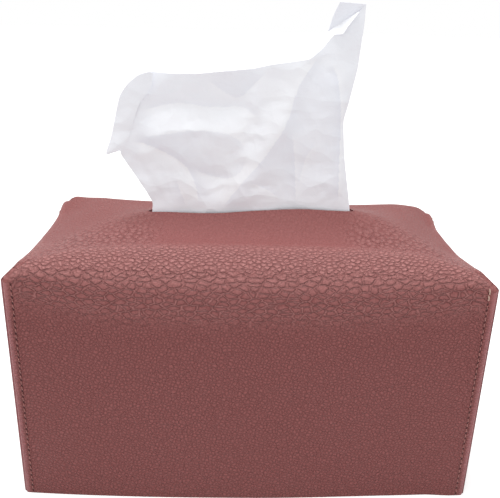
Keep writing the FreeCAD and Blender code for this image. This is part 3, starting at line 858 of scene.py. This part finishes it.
# the closing straps
strap = dict(
    halfWidth=20.0, thickness=1.15, samples=90, across=14, pathRound=0.6, cornerRound=2.5, sharpAngle=40,
    # each strap's path (y, z), from its root on the wall, under the base to its free end
    outerPath=[(-60.35, 14.1), (-60.95, 6.0), (-61.15, 3.4), (-60.9, 2.1),
               (-60.0, 1.4), (-58.6, 1.3), (-40, 1.3), (12.9, 1.3)],
    innerPath=[(60.15, 17.3), (60.6, 9.0), (60.75, 6.6), (60.6, 5.2),
               (59.8, 4.5), (58.4, 4.4), (40, 4.4), (-12.9, 4.4)],
    # two points along each strap, (x, y, z) in metres: where it leaves the cover's wall, and where it lies
    # under the base
    outerBlend=((0, -0.0612, 0.0034), (0, -0.0588, 0.0013)),
    innerBlend=((0, 0.0608, 0.0064), (0, 0.0586, 0.0044)),
    colour=linear(126, 80, 78), dark=linear(96, 56, 55), cellScale=620.0, furrow=0.3,
    wearScale=60.0, wearSpan=(0.2, 0.8), worn=(0.7, 1.0),
    roughness=0.58, grainDepth=0.12, bumpStrength=0.8, specular=0.45,
)


def stripAlong(name, path):
    # a strap: its path carried across x, closed all round; its width drops by a quarter circle at the
    # corners of the free end
    k = strap
    path = np.asarray(path, float)
    run = runAlong(path)
    s = np.linspace(0, run[-1], k["samples"])
    y, z = softLine(s, run, path[:, 0], k["pathRound"]), softLine(s, run, path[:, 1], k["pathRound"])
    ahead = np.gradient(np.stack([y, z], 1), axis=0)
    ahead /= np.linalg.norm(ahead, axis=1)[:, None]
    normal = np.stack([-ahead[:, 1], ahead[:, 0]], 1)
    left = np.clip((run[-1] - s) / k["cornerRound"], 0, 1)
    width = k["halfWidth"] - k["cornerRound"] * (1 - np.sqrt(np.clip(1 - (1 - left) ** 2, 0, 1)))
    x = np.linspace(-1, 1, k["across"])
    ring = np.stack([np.append(x, x[::-1]), np.repeat([0.5, -0.5], len(x))], 1)
    points = np.empty((len(s), len(ring), 3))
    points[..., 0] = ring[None, :, 0] * width[:, None]
    points[..., 1] = y[:, None] + normal[:, :1] * ring[None, :, 1] * k["thickness"]
    points[..., 2] = z[:, None] + normal[:, 1:] * ring[None, :, 1] * k["thickness"]
    columns = len(ring)
    faces = [gridFaces(len(s), columns, False, True)]
    i = np.arange(k["across"] - 1)
    cap = np.stack([i, i + 1, columns - 2 - i, columns - 1 - i], 1)
    faces += [cap[:, ::-1], cap + (len(s) - 1) * columns]
    made = meshFrom(name, points.reshape(-1, 3), np.concatenate(faces))
    setUv(made, np.stack(np.broadcast_arrays(points[..., 0], s[:, None]), -1).reshape(-1, 2))
    shadeSmooth(made, k["sharpAngle"])
    return made


def strapMaterial():
    # the cover's leather, finely grained and a little worn
    k = strap
    material, tree = newMaterial("strapLeather")
    uv = sheetUv(tree)
    body = rampOf(tree, cellsOf(tree, uv, "DISTANCE_TO_EDGE", k["cellScale"]), 0.0, k["furrow"])
    wear = noiseOf(tree, uv, k["wearScale"], detail=3.0)
    wear = rampOf(tree, wear, *k["wearSpan"], *k["worn"])
    tint = mixColour(tree, times(tree, body, wear), k["dark"], k["colour"])
    bump = (k["grainDepth"] * mm, k["bumpStrength"])
    finishMaterial(tree, tint, k["roughness"], body, *bump, Specular_IOR_Level=k["specular"])
    return material


strapSkin = strapMaterial()
outerStrap = stripAlong("outerStrap", strap["outerPath"])
innerStrap = stripAlong("innerStrap", strap["innerPath"])
for made, body, (start, end), replaced in (
    (outerStrap, "lower_closure", strap["outerBlend"], ("outer_strap", "outer_strap_root")),
    (innerStrap, "upper_closure", strap["innerBlend"], ("inner_strap", "inner_strap_root")),
):
    made.data.materials.append(strapSkin)
    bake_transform(made)
    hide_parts(*replaced)


# the straps' hook and loop patches
patch = dict(
    halfX=18.5, halfY=11.5, columns=75, rows=47, rim=0.8, rimDrop=0.15, loopPile=0.1, loopDrop=0.12,
    hookColumns=24, hookRows=15, hookSpread=(0.92, 0.86), hookDrop=0.5, hookSides=6,
    hookLevels=((0.0, 0.17, 0.0), (0.6, 0.12, 0.0), (0.9, 0.12, 0.14), (1.0, 0.05, 0.26)),
    pile=((0.8, 0, 5), (0.45, 9, 6)),  # size, shift and seed of the loops, in two sizes
    pileShare=0.5, sharpAngle=50, loopColour=linear(92, 62, 62), hookColour=linear(84, 56, 56),
    darkShare=0.5, fibreScale=2600.0, fibreDepth=0.1,
)


def hookRowsOn(seatHeight, reach, up):
    # rows of pins that lean over at their ends: rings at each level's share of the reach, its radius
    # and its lean; up is 1 or -1
    k = patch
    turns = np.linspace(0, 2 * math.pi, k["hookSides"], endpoint=False)
    pin = np.stack([
        np.stack([r * np.cos(turns) + lean, r * np.sin(turns), np.full_like(turns, h * reach * up)], 1)
        for h, r, lean in k["hookLevels"]
    ]).reshape(1, -1, 3)
    counts = (k["hookColumns"], k["hookRows"])
    spreadX, spreadY = (share * np.linspace(-1, 1, n) for share, n in zip(k["hookSpread"], counts))
    cx, cy = np.meshgrid(spreadX * k["halfX"], spreadY * k["halfY"])
    seats = np.stack([cx.ravel(), cy.ravel(), np.full(cx.size, seatHeight)], 1)
    caps = np.array([[0, 1, 2, 3], [0, 3, 4, 5]])
    faces = tubeFaces(len(k["hookLevels"]), k["hookSides"], caps, len(seats))
    return (seats[:, None, :] + pin).reshape(-1, 3), faces


def makePatch(name, low, high, faceUp, hooks):
    # a tape patch: a thin woven slab between two heights, with looped pile or rows of hooks on its face
    k = patch
    nx, ny = k["columns"], k["rows"]
    gx, gy = np.meshgrid(np.linspace(-1, 1, nx) * k["halfX"], np.linspace(-1, 1, ny) * k["halfY"])
    inside = smoothStep(k["halfX"] - np.abs(gx), 0, k["rim"])
    inside = inside * smoothStep(k["halfY"] - np.abs(gy), 0, k["rim"])
    pile = sum(
        valueNoise(gx / size + shift, gy / size, seed) * k["pileShare"] for size, shift, seed in k["pile"]
    )
    thick = (high - low) - (k["hookDrop"] if hooks else k["loopDrop"]) - k["rimDrop"] * (1 - inside)
    if not hooks:
        thick = thick + k["loopPile"] * pile * inside
    up, base = (1, low) if faceUp else (-1, high)
    points = np.concatenate([
        np.dstack([gx, gy, height]).reshape(-1, 3) for height in (base + up * thick, np.full_like(gx, base))
    ])
    faces = slabFaces(ny, nx)
    if hooks:
        seat = thick.mean()
        pins, pinFaces = hookRowsOn(base + up * seat, high - low - seat, up)
        points, faces = np.concatenate([points, pins]), np.concatenate([faces, pinFaces + nx * ny * 2])
    made = meshFrom(name, points, faces[:, ::up])
    setUv(made, points[:, :2])
    shadeSmooth(made, k["sharpAngle"])
    return made


for name, node, body, tape, low, high, faceUp, hooks, tone in (
    ("loopPatch", "loop_patch", "lower_closure", "loop_tape", 1.9, 2.7, True, False, patch["loopColour"]),
    ("hookPatch", "hook_patch", "upper_closure", "hook_tape", 3.0, 3.8, False, True, patch["hookColour"]),
):
    made = makePatch(name, low, high, faceUp, hooks)
    dark = (*(patch["darkShare"] * part for part in tone[:3]), 1.0)
    felt = feltMaterial(name + "Tape", tone, dark, patch["fibreScale"], patch["fibreDepth"])
    made.data.materials.append(felt)
    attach(made, body)
    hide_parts(node)
print("straps and patches made")


# the tissue, drawn up through the slot
tissue = dict(
    columns=170, rows=186, halfThickness=0.11, tailHeight=130.0, flatWidth=140.0, flatLength=115.0,
    relief=0.36, restDepth=-3.0, softening=70, lean=0.22, baseLean=3.6,
    leanFrom=(149, 156), baseLeanFrom=(149, 178), crumpledFrom=(150, 168),  # heights where each sets in
    edgePasses=8, turnedPasses=5, risePasses=12, markFade=7, sharpAngle=75,
    # creases: width, height, shift along x and z, seed and strength of both sizes, and their slant
    creases=((13, 22, 3, 0, 11, 0.5), (5.5, 9, 0, 2, 12, 0.22)), creaseSlant=0.25, creaseMiddle=190,
    creaseMean=0.3, turnedCrumple=0.4,
    colour=linear(248, 249, 253), shadeColour=linear(232, 234, 243),
    facets=((24.0, 15.0, 0.5, 1.5), (11.0, 8.0, -0.6, 0.45)),  # width, height, turn and depth of both sizes
    facetWarp=14.0, warpScale=45.0, embossDepth=0.04, crepeShare=0.35, fibreScale=1500.0, crepeScale=420.0,
    cloudScale=38.0, cloudShare=0.3, foldLightAndShade=0.34, plainTone=0.52,
    roughness=0.95, specular=0.2, sheen=0.1,
)
foldPoints = dict(  # x, depth and height of each point where creases meet, in mm
    tailA=(-54, -1, 130), tailB=(-44, -3, 130), tailC=(-35, -0.5, 130), tailD=(-26, -3, 130),
    tailE=(-15, -1, 130), tailF=(5, -3, 130), tailG=(22, 0, 130), tailH=(29, -3, 130),
    tailI=(43, -1.5, 130), tailK=(54, 0.5, 130),
    footA=(-56.1, -1.5, 148.6), footB=(-46.2, -4.2, 150.2), footC=(-37.4, -1.0, 150.7),
    footD=(-26.4, -4.2, 151.9), footE=(-15.7, -2.5, 151.7), footF=(5.9, -4.2, 151.5),
    footG=(23.7, -1, 151.6), footH=(27.5, -3.8, 152.0), footI=(44.7, -3, 151.6),
    footJ=(50.7, -4.0, 153.9), footK=(56.2, 0.5, 150.1),
    leftA=(-55.5, -1, 153.2), leftB=(-59.3, -1, 159.6), leftC=(-69.8, 1, 174.4), leftD=(-73.6, 1, 180.5),
    leftE=(-71.0, -2, 188.5), leftF=(-63.8, -6, 208.3), leftG=(-56.7, -6, 217.3),
    apex=(-56.1, -3, 224.9),
    topA=(-43.8, -9, 224.2), topB=(-30.7, -11, 224.6), topC=(-16.8, -11, 226.2), topD=(-1.3, -7, 227.7),
    topE=(9.0, -12, 230.3), topF=(28.4, -14, 233.4), topG=(35.2, -9, 239.2), topH=(39.2, -7, 244.7),
    topJ=(47.0, -1, 250.0), topM=(52.6, 0, 257.1), topK=(56.4, 2, 261.4),
    rightA=(56.2, 2, 249.8), rightB=(54.8, 3, 229.3), rightC=(51.1, 3, 209.0), rightD=(49.2, 2, 200.9),
    rightE=(50.9, 2, 183.6), rightF=(54.0, 1, 164.3),
    bandA=(-56.3, -3, 206.4), bandB=(-37.5, -3, 209.1), bandC=(-9.2, -2, 209.2), bandD=(1.8, -6, 201.6),
    bandE=(-55.9, -9, 191.5), bandF=(-37.0, -11, 195.6), bandG=(-15.8, -10, 194.9),
    lensA=(-4.7, -6, 183.4), lensB=(-26.5, -3.5, 166.4),
    creaseA=(-63.9, -6, 187.9), creaseB=(-47.9, -10, 182.7), creaseC=(-36.7, -9.5, 177.9),
    creaseD=(-33.1, -6.5, 165.9),
    ridgeA=(31.2, -13, 234.2), ridgeB=(21.2, -14, 222.0), ridgeC=(15.6, -18, 199.5),
    ridgeD=(0.3, -13, 175.3), ridgeE=(-9.1, -7, 160.9),
    pleatA=(20.5, -11, 196.1), pleatB=(22.3, -5, 172.1), pleatC=(27.1, -8.5, 178.7),
    wallA=(36.4, -9, 232.0), wallB=(43.0, -11, 223.9), wallC=(45.0, -11, 211.1),
    wallD=(47.1, -10, 187.9), wallE=(49.4, -7, 164.1),
    tongueA=(46.8, -3, 229.7), tongueB=(50.0, -1, 247.0),
)
foldLines = [  # creases, each through the points named
    "tailA tailB tailC tailD tailE tailF tailG tailH tailI tailK", "tailA footA", "tailB footB",
    "tailC footC", "tailD footD", "tailE footE", "tailF footF", "tailG footG", "tailH footH",
    "tailI footI", "tailK footK",
    "footA leftA leftB leftC leftD leftE leftF leftG apex",
    "apex topA topB topC topD topE topF topG topH topJ topM topK",
    "topK rightA rightB rightC rightD rightE rightF footK", "bandA bandB bandC bandD",
    "leftE bandE bandF bandG lensA", "leftE creaseA creaseB creaseC creaseD footD", "creaseB bandE",
    "topB bandC topE", "ridgeA ridgeB ridgeC ridgeD ridgeE footE", "pleatA pleatB footG", "pleatC footH",
    "wallA wallB wallC wallD wallE footJ", "ridgeA wallA", "ridgeA topG", "tongueA wallA",
    "tongueA tongueB topJ", "lensA lensB footE", "creaseD lensB",
]
leftEdge = "tailA footA leftA leftB leftC leftD leftE leftF leftG apex".split()
topEdge = "apex topA topB topC topD topE topF topG topH topJ topM topK".split()
rightEdge = "tailK footK rightF rightE rightD rightC rightB rightA topK".split()
foldMarks = dict(  # soft folds: (x, z) points, how far the light on its left and the shade on its
    # right reach, in mm, its strength, and whether the paper leans along it
    bandTop=([(4, 200), (0, 204), (-7, 208), (-17, 207), (-27, 207), (-37, 209),
              (-48, 208), (-61, 204)], 13, 7, 0.58, 1),
    bandLow=([(-62, 190), (-44, 193), (-34, 195), (-16, 194), (-8, 190), (-3, 184)], 10, 8, 0.6, 1),
    ridge=([(-17, 151), (-5, 167), (6, 180), (11, 188), (17, 197), (21, 212),
            (23, 220), (31, 232), (33, 235)], 12, 9, 0.9, 1),
    roll=([(-30, 153), (-30, 158), (-33, 168), (-37, 175), (-46, 181), (-60, 187),
           (-66, 187)], 6, 6, 1.2, 1),
    lensFoot=([(-3, 180), (-6, 172), (-12, 168), (-19, 168), (-27, 170), (-34, 174)], 9, 7, 0.7, 1),
    topFold=([(7, 227), (-2, 218), (-8, 211), (-16, 215), (-26, 222)], 8, 9, 0.6, 1),
    wallLine=([(39, 232), (43, 227), (45, 220), (47, 208), (48, 196), (48, 185),
               (49, 155)], 1.6, 4, 1.3, 0),
    pleatRight=([(20, 196), (23, 186), (25, 154)], 2.2, 5, 0.8, 0),
    pleatSmall=([(17, 155), (14, 159), (6, 164), (-3, 167)], 4, 1.6, 0.8, 0),
    pleatLeft=([(-43, 169), (-40, 160), (-36, 151)], 1.8, 3, 0.9, 0),
    pleatMiddle=([(36, 190), (30, 183), (28, 176), (26, 162)], 2.5, 5, 0.5, 0),
    topRight=([(40, 236), (35, 235), (33, 230)], 4, 3, 0.5, 0),
)


def foldDepth(x, z):
    # depth at (x, z): flat facets between the crease lines, which a triangulation that keeps the
    # creases gives; a point takes the mean of its facet's corners, weighted by its place in it
    names = list(foldPoints)
    known = np.array([foldPoints[n] for n in names], float)
    pairs = [pair for line in foldLines for pair in zip(line.split(), line.split()[1:])]
    edges = [(names.index(a), names.index(b)) for a, b in pairs]
    made = delaunay_2d_cdt([Vector((p[0], p[2])) for p in known], edges, [], 0, 1e-5)
    verts, faces, came = made[0], made[2], made[3]
    flat = np.array([tuple(v) for v in verts])
    depth = np.array([known[c[0], 1] if c else np.nan for c in came])
    lost = np.isnan(depth)
    depth[lost] = [known[np.argmin(np.hypot(*(known[:, [0, 2]] - p).T)), 1] for p in flat[lost]]
    tri = np.array([list(f) for f in faces])
    a, b, c = (flat[tri[:, i]] for i in range(3))
    px, pz = x.ravel()[:, None] - a[:, 0], z.ravel()[:, None] - a[:, 1]
    (bx, bz), (cx, cz) = (b - a).T, (c - a).T
    area = bx * cz - bz * cx
    weightB, weightC = (px * cz - pz * cx) / area, (bx * pz - bz * px) / area
    weights = np.stack([1 - weightB - weightC, weightB, weightC], -1)
    best = np.argmax(weights.min(-1), axis=1)
    weights = np.clip(weights[np.arange(len(best)), best], 0, 1)
    weights /= weights.sum(1, keepdims=True)
    return (weights * depth[tri[best]]).sum(1).reshape(x.shape)


def alongPoints(names, t, by=None):
    # the edge through these points, at shares t of its length, or of its travel along axis by
    points = np.array([foldPoints[n] for n in names], float)[:, [0, 2]]
    run = runAlong(points if by is None else points[:, [by]])
    return easedLine(points, run, t, tissue["edgePasses"])


def foldShade(x, z, leaningOnly):
    # from -1 to 1: exp(-distance / reach) on each side of each fold's rounded line, fading out
    # towards the line's ends
    total = np.zeros_like(x)
    for points, light, dark, strength, leans in foldMarks.values():
        p = np.array(points, float)
        for _ in range(2):  # cuts the corners off
            quarters = np.stack([0.75 * p[:-1] + 0.25 * p[1:], 0.25 * p[:-1] + 0.75 * p[1:]], 1)
            p = np.concatenate([p[:1], quarters.reshape(-1, 2), p[-1:]])
        step, run = np.diff(p, axis=0), runAlong(p)
        size = np.linalg.norm(step, axis=1)
        dx, dz = x[..., None] - p[:-1, 0], z[..., None] - p[:-1, 1]
        u = np.clip((dx * step[:, 0] + dz * step[:, 1]) / size**2, 0, 1)
        gap = np.hypot(dx - u * step[:, 0], dz - u * step[:, 1])
        side = step[:, 0] * dz - step[:, 1] * dx
        near = np.argmin(gap, -1)[..., None]
        gap, u, side = (np.take_along_axis(v, near, -1)[..., 0] for v in (gap, u, side))
        near = near[..., 0]
        at = run[near] + u * size[near]
        reach = tissue["markFade"]
        fade = strength * smoothStep(at, 0, reach) * smoothStep(run[-1] - at, 0, reach)
        if leaningOnly:  # an upright fold doesn't lean back or forward
            fade = fade * leans * (step[near, 0] / size[near]) ** 2
        total += fade * np.where(side > 0, np.exp(-gap / light), -np.exp(-gap / dark))
    return total


def closedSheet(front, halfThickness):
    # gives a grid surface its thickness: both faces moved along its normals, and the rim closed
    du, dv = np.gradient(front, axis=1), np.gradient(front, axis=0)
    normal = np.cross(du, dv)
    normal /= np.maximum(np.linalg.norm(normal, axis=2, keepdims=True), 1e-9)
    faces = [(front + side * normal * halfThickness).reshape(-1, 3) for side in (1, -1)]
    return np.concatenate(faces), slabFaces(*front.shape[:2])


def crumple(x, z):
    # fine creases: ridged noise at two sizes, drawn out along the pull from the slot
    k = tissue
    lean = x + k["creaseSlant"] * (z - k["creaseMiddle"])
    return sum(
        strength * (np.abs(valueNoise(lean / wide + shiftX, z / tall + shiftZ, seed)) - k["creaseMean"])
        for wide, tall, shiftX, shiftZ, seed, strength in k["creases"]
    )


def soften(field, passes):
    # averages each inner point of a grid with its four neighbours: (2 x own + the four) / 6
    for _ in range(passes):
        upDown, leftRight = field[2:, 1:-1] + field[:-2, 1:-1], field[1:-1, 2:] + field[1:-1, :-2]
        field[1:-1, 1:-1] = (field[1:-1, 1:-1] * 2 + upDown + leftRight) / 6


def mainSheet():
    # the sheet's plan (x, z) is spanned between its four edges, each point the blend of the two pairs
    # of edges less that of the corners; its depth follows the creases
    k = tissue
    s, t = np.linspace(0, 1, k["columns"]), np.linspace(0, 1, k["rows"])
    left, right = alongPoints(leftEdge, t), alongPoints(rightEdge, t)
    top = alongPoints(topEdge, s, by=0)
    bottomX = left[0, 0] + (right[0, 0] - left[0, 0]) * s
    bottom = np.stack([bottomX, np.full_like(s, k["tailHeight"])], -1)
    across, up = s[None, :, None], t[:, None, None]
    sides = (1 - across) * left[:, None] + across * right[:, None]
    ends = (1 - up) * bottom[None] + up * top[None]
    lowCorners = (1 - across) * bottom[0] + across * bottom[-1]
    highCorners = (1 - across) * top[0] + across * top[-1]
    flat = sides + ends - (1 - up) * lowCorners - up * highCorners
    x, z = flat[..., 0], flat[..., 1]
    depth = k["restDepth"] + (foldDepth(x, z) - k["restDepth"]) * k["relief"]
    soften(depth, k["softening"])
    # beside a fold the paper leans by the fold's shade: the depth is that lean added up from the
    # slot to the top
    lean = k["lean"] * foldShade(x, z, True) * smoothStep(z, *k["leanFrom"])
    rise = np.cumsum(lean * np.gradient(z, axis=0), axis=0)
    rise -= rise[-1] * t[:, None]
    soften(rise, k["risePasses"])
    depth = depth + rise + k["baseLean"] * smoothStep(z, *k["baseLeanFrom"])
    depth = depth + crumple(x, z) * smoothStep(z, *k["crumpledFrom"])
    # the second is the painted light and shade beside the folds
    return np.dstack([x, depth, z]), foldShade(x, z, False)


# the last number of each is painted light (above 0) and painted shade (below 0) on that part
turnedParts = dict(  # both edges (x, y, z), points along and across, bulge, tone
    foldedSide=(
        [(-73.4, 1.5, 182.1), (-80.4, 3, 179.1), (-82.2, 3.5, 178.2), (-78.4, 3.5, 188.5),
         (-76.7, 3, 194.9), (-73.6, 1.5, 206.9), (-71.9, 0, 212.4), (-67.2, -1.5, 218.8),
         (-60.8, -2.5, 223.8), (-55.3, -2.6, 225.1)],
        [(-71.6, 1.6, 181.4), (-70.8, 1.5, 183.0), (-68.6, 0.6, 188.5), (-61.6, -1.2, 208.3),
         (-54.5, -1.6, 217.3), (-53.8, -1.6, 224.2)], 60, 16, -0.6, 0.1),
    tipInside=(
        [(36.8, 4.0, 245.7), (37.9, 3.6, 247.6), (39.5, 2.2, 254.5), (41.2, 1.2, 259.0),
         (42.6, 0.5, 262.0)],
        [(47.0, 3.5, 246.5), (50.0, 3.0, 252.0), (53.5, 2.6, 257.0), (55.0, 2.4, 259.5),
         (56.3, 2.1, 261.2)],
        40, 24, 0.3, -0.7),
    tipCorner=(
        [(36.5, -0.5, 245.6), (45.1, -1.5, 246.3), (47.3, -1.3, 250.3), (52.8, 0.2, 257.2)],
        [(37.2, 3.0, 246.6), (40.9, 3.2, 249.6), (46.7, 2.8, 253.4), (52.6, 1.6, 257.4)], 40, 10, 0.0, 0.8),
)


def turnedPart(edges, n, m, bulge):
    # straight lines between two eased edges, bulged by a sine each way and lightly crumpled
    q, w = np.linspace(0, 1, n), np.linspace(0, 1, m)[None, :, None]
    edges = [np.asarray(edge, float) for edge in edges]
    passes = tissue["turnedPasses"]
    first, second = (easedLine(edge, runAlong(edge), q, passes)[:, None] for edge in edges)
    surface = first * (1 - w) + second * w
    arch = np.sin(w[..., 0] * math.pi) * np.sin(q * math.pi)[:, None]
    creased = tissue["turnedCrumple"] * crumple(surface[..., 0], surface[..., 2])
    surface[..., 1] += bulge * arch + creased
    return surface


def makeTissue():
    # the main sheet, its side that folds back behind the left crease, and the corner turned over
    k = tissue
    sheets = [mainSheet()]
    for edgeA, edgeB, n, m, bulge, tone in turnedParts.values():
        sheets.append((turnedPart((edgeA, edgeB), n, m, bulge), np.full((n, m), tone)))
    points, faces, count = [], [], 0
    for surface, _ in sheets:
        somePoints, someFaces = closedSheet(surface, k["halfThickness"])
        points.append(somePoints)
        faces.append(someFaces + count)
        count += len(somePoints)
    points = np.concatenate(points)
    made = meshFrom("tissueSheet", points, np.concatenate(faces))
    setUv(made, points[:, [0, 2]])
    # painted light and shade beside the folds, a value for each point
    setAttribute(made, "foldLightAndShade", np.concatenate([np.tile(tone.ravel(), 2) for _, tone in sheets]))
    shadeSmooth(made, k["sharpAngle"])
    return made


def tissueMaterial():
    # soft paper: tiny embossing and faint fibres; painted light on one side of each fold and painted shade
    # on the other
    k = tissue
    material, tree = newMaterial("softPaper")
    uv = sheetUv(tree)
    fibre = noiseOf(tree, uv, k["fibreScale"], detail=4.0, roughness=0.65)
    wave = {"Vector": uv, "Scale": k["crepeScale"], "Distortion": 5.0, "Detail": 2.0, "Detail Scale": 2.0}
    crepe = addNode(tree, "TexWave", wave, bands_direction="Y").outputs["Fac"]
    cloud = noiseOf(tree, uv, k["cloudScale"], detail=4.0)
    # painted light and shade beside the folds: a mix from the shade colour to the paper's own
    tone = calc(tree, "MULTIPLY_ADD", attributeOf(tree, "foldLightAndShade"), k["foldLightAndShade"], k["plainTone"])
    tone = calc(tree, "MULTIPLY_ADD", cloud, k["cloudShare"], tone, clamp=True)
    tint = mixColour(tree, tone, k["shadeColour"], k["colour"])
    # the crumpled sheet's shallow facets, which meet in creases, in two sizes over the embossing
    height = times(tree, calc(tree, "MULTIPLY_ADD", crepe, k["crepeShare"], fibre), k["embossDepth"])
    warped = driftedUv(tree, uv, k["facetWarp"], 0.0, k["warpScale"])
    for wide, tall, turn, depth in k["facets"]:
        facet = cellsOf(tree, spreadUv(tree, warped, wide, tall, turn), "F1")
        height = calc(tree, "MULTIPLY_ADD", facet, depth, height)
    gloss = dict(Specular_IOR_Level=k["specular"], Sheen_Weight=k["sheen"])
    finishMaterial(tree, tint, k["roughness"], height, mm, **gloss)
    return material


tissueSheet = makeTissue()
tissueSheet.data.materials.append(tissueMaterial())
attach(tissueSheet, "tissue")
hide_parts("tissue_sheet")
print("tissue made", len(tissueSheet.data.polygons), "faces")


# floor, lights and world
stage = dict(
    floorSize=9000.0, floorColour=0.9, floorLift=0.42, worldLight=0.83,
    lampPlace=(-0.12, 0.02, 1.25), lampTarget=(0, 0, 0.1), lampSize=(0.5, 0.4), lampPower=8.0,
)


def seenStraight(tree):
    # 1 for what the camera sees, also in a mirror or through glass; 0 where light bounces
    path = addNode(tree, "LightPath").outputs
    bounced = larger(tree, path["Is Glossy Ray"], path["Is Transmission Ray"])
    return larger(tree, path["Is Camera Ray"], bounced)


def makeFloor():
    # a pale floor that shows white to the camera and still darkens under the cover
    half, shade = stage["floorSize"] / 2, stage["floorColour"]
    corners = [(-half, -half, 0), (half, -half, 0), (half, half, 0), (-half, half, 0)]
    floor = meshFrom("paleFloor", corners, [(0, 1, 2, 3)])
    material, tree = newMaterial("paleFloor")
    surface = addNode(tree, "BsdfDiffuse", {"Color": (shade, shade, shade, 1)})
    lift = times(tree, seenStraight(tree), stage["floorLift"])
    glow = addNode(tree, "Emission", {"Color": (1, 1, 1, 1), "Strength": lift})
    both = addNode(tree, "AddShader", {0: surface.outputs[0], 1: glow.outputs[0]})
    addNode(tree, "OutputMaterial", {"Surface": both.outputs[0]})
    floor.data.materials.append(material)


def makeWorld():
    # white where the camera sees it, a little dimmer as a light
    world = bpy.data.worlds.new("paleRoom")
    world.use_nodes = True
    tree = world.node_tree
    tree.nodes.clear()
    strength = rampOf(tree, seenStraight(tree), 0.0, 1.0, stage["worldLight"], 1.0, smooth=False)
    sky = addNode(tree, "Background", {"Color": (1, 1, 1, 1), "Strength": strength})
    addNode(tree, "OutputWorld", {"Surface": sky.outputs[0]})
    scene.world = world


def addLamp(name, place, target, size, power):
    data = bpy.data.lights.new(name, "AREA")
    data.shape, data.size, data.size_y, data.energy = "RECTANGLE", size[0], size[1], power
    lamp = bpy.data.objects.new(name, data)
    lamp.location = place
    lamp.rotation_euler = (Vector(target) - Vector(place)).to_track_quat("-Z", "Y").to_euler()
    scene.collection.objects.link(lamp)


makeFloor()
makeWorld()
addLamp("topSoftbox", stage["lampPlace"], stage["lampTarget"], stage["lampSize"], stage["lampPower"])
scene.view_settings.view_transform = "Standard"
print("floor and lights made")
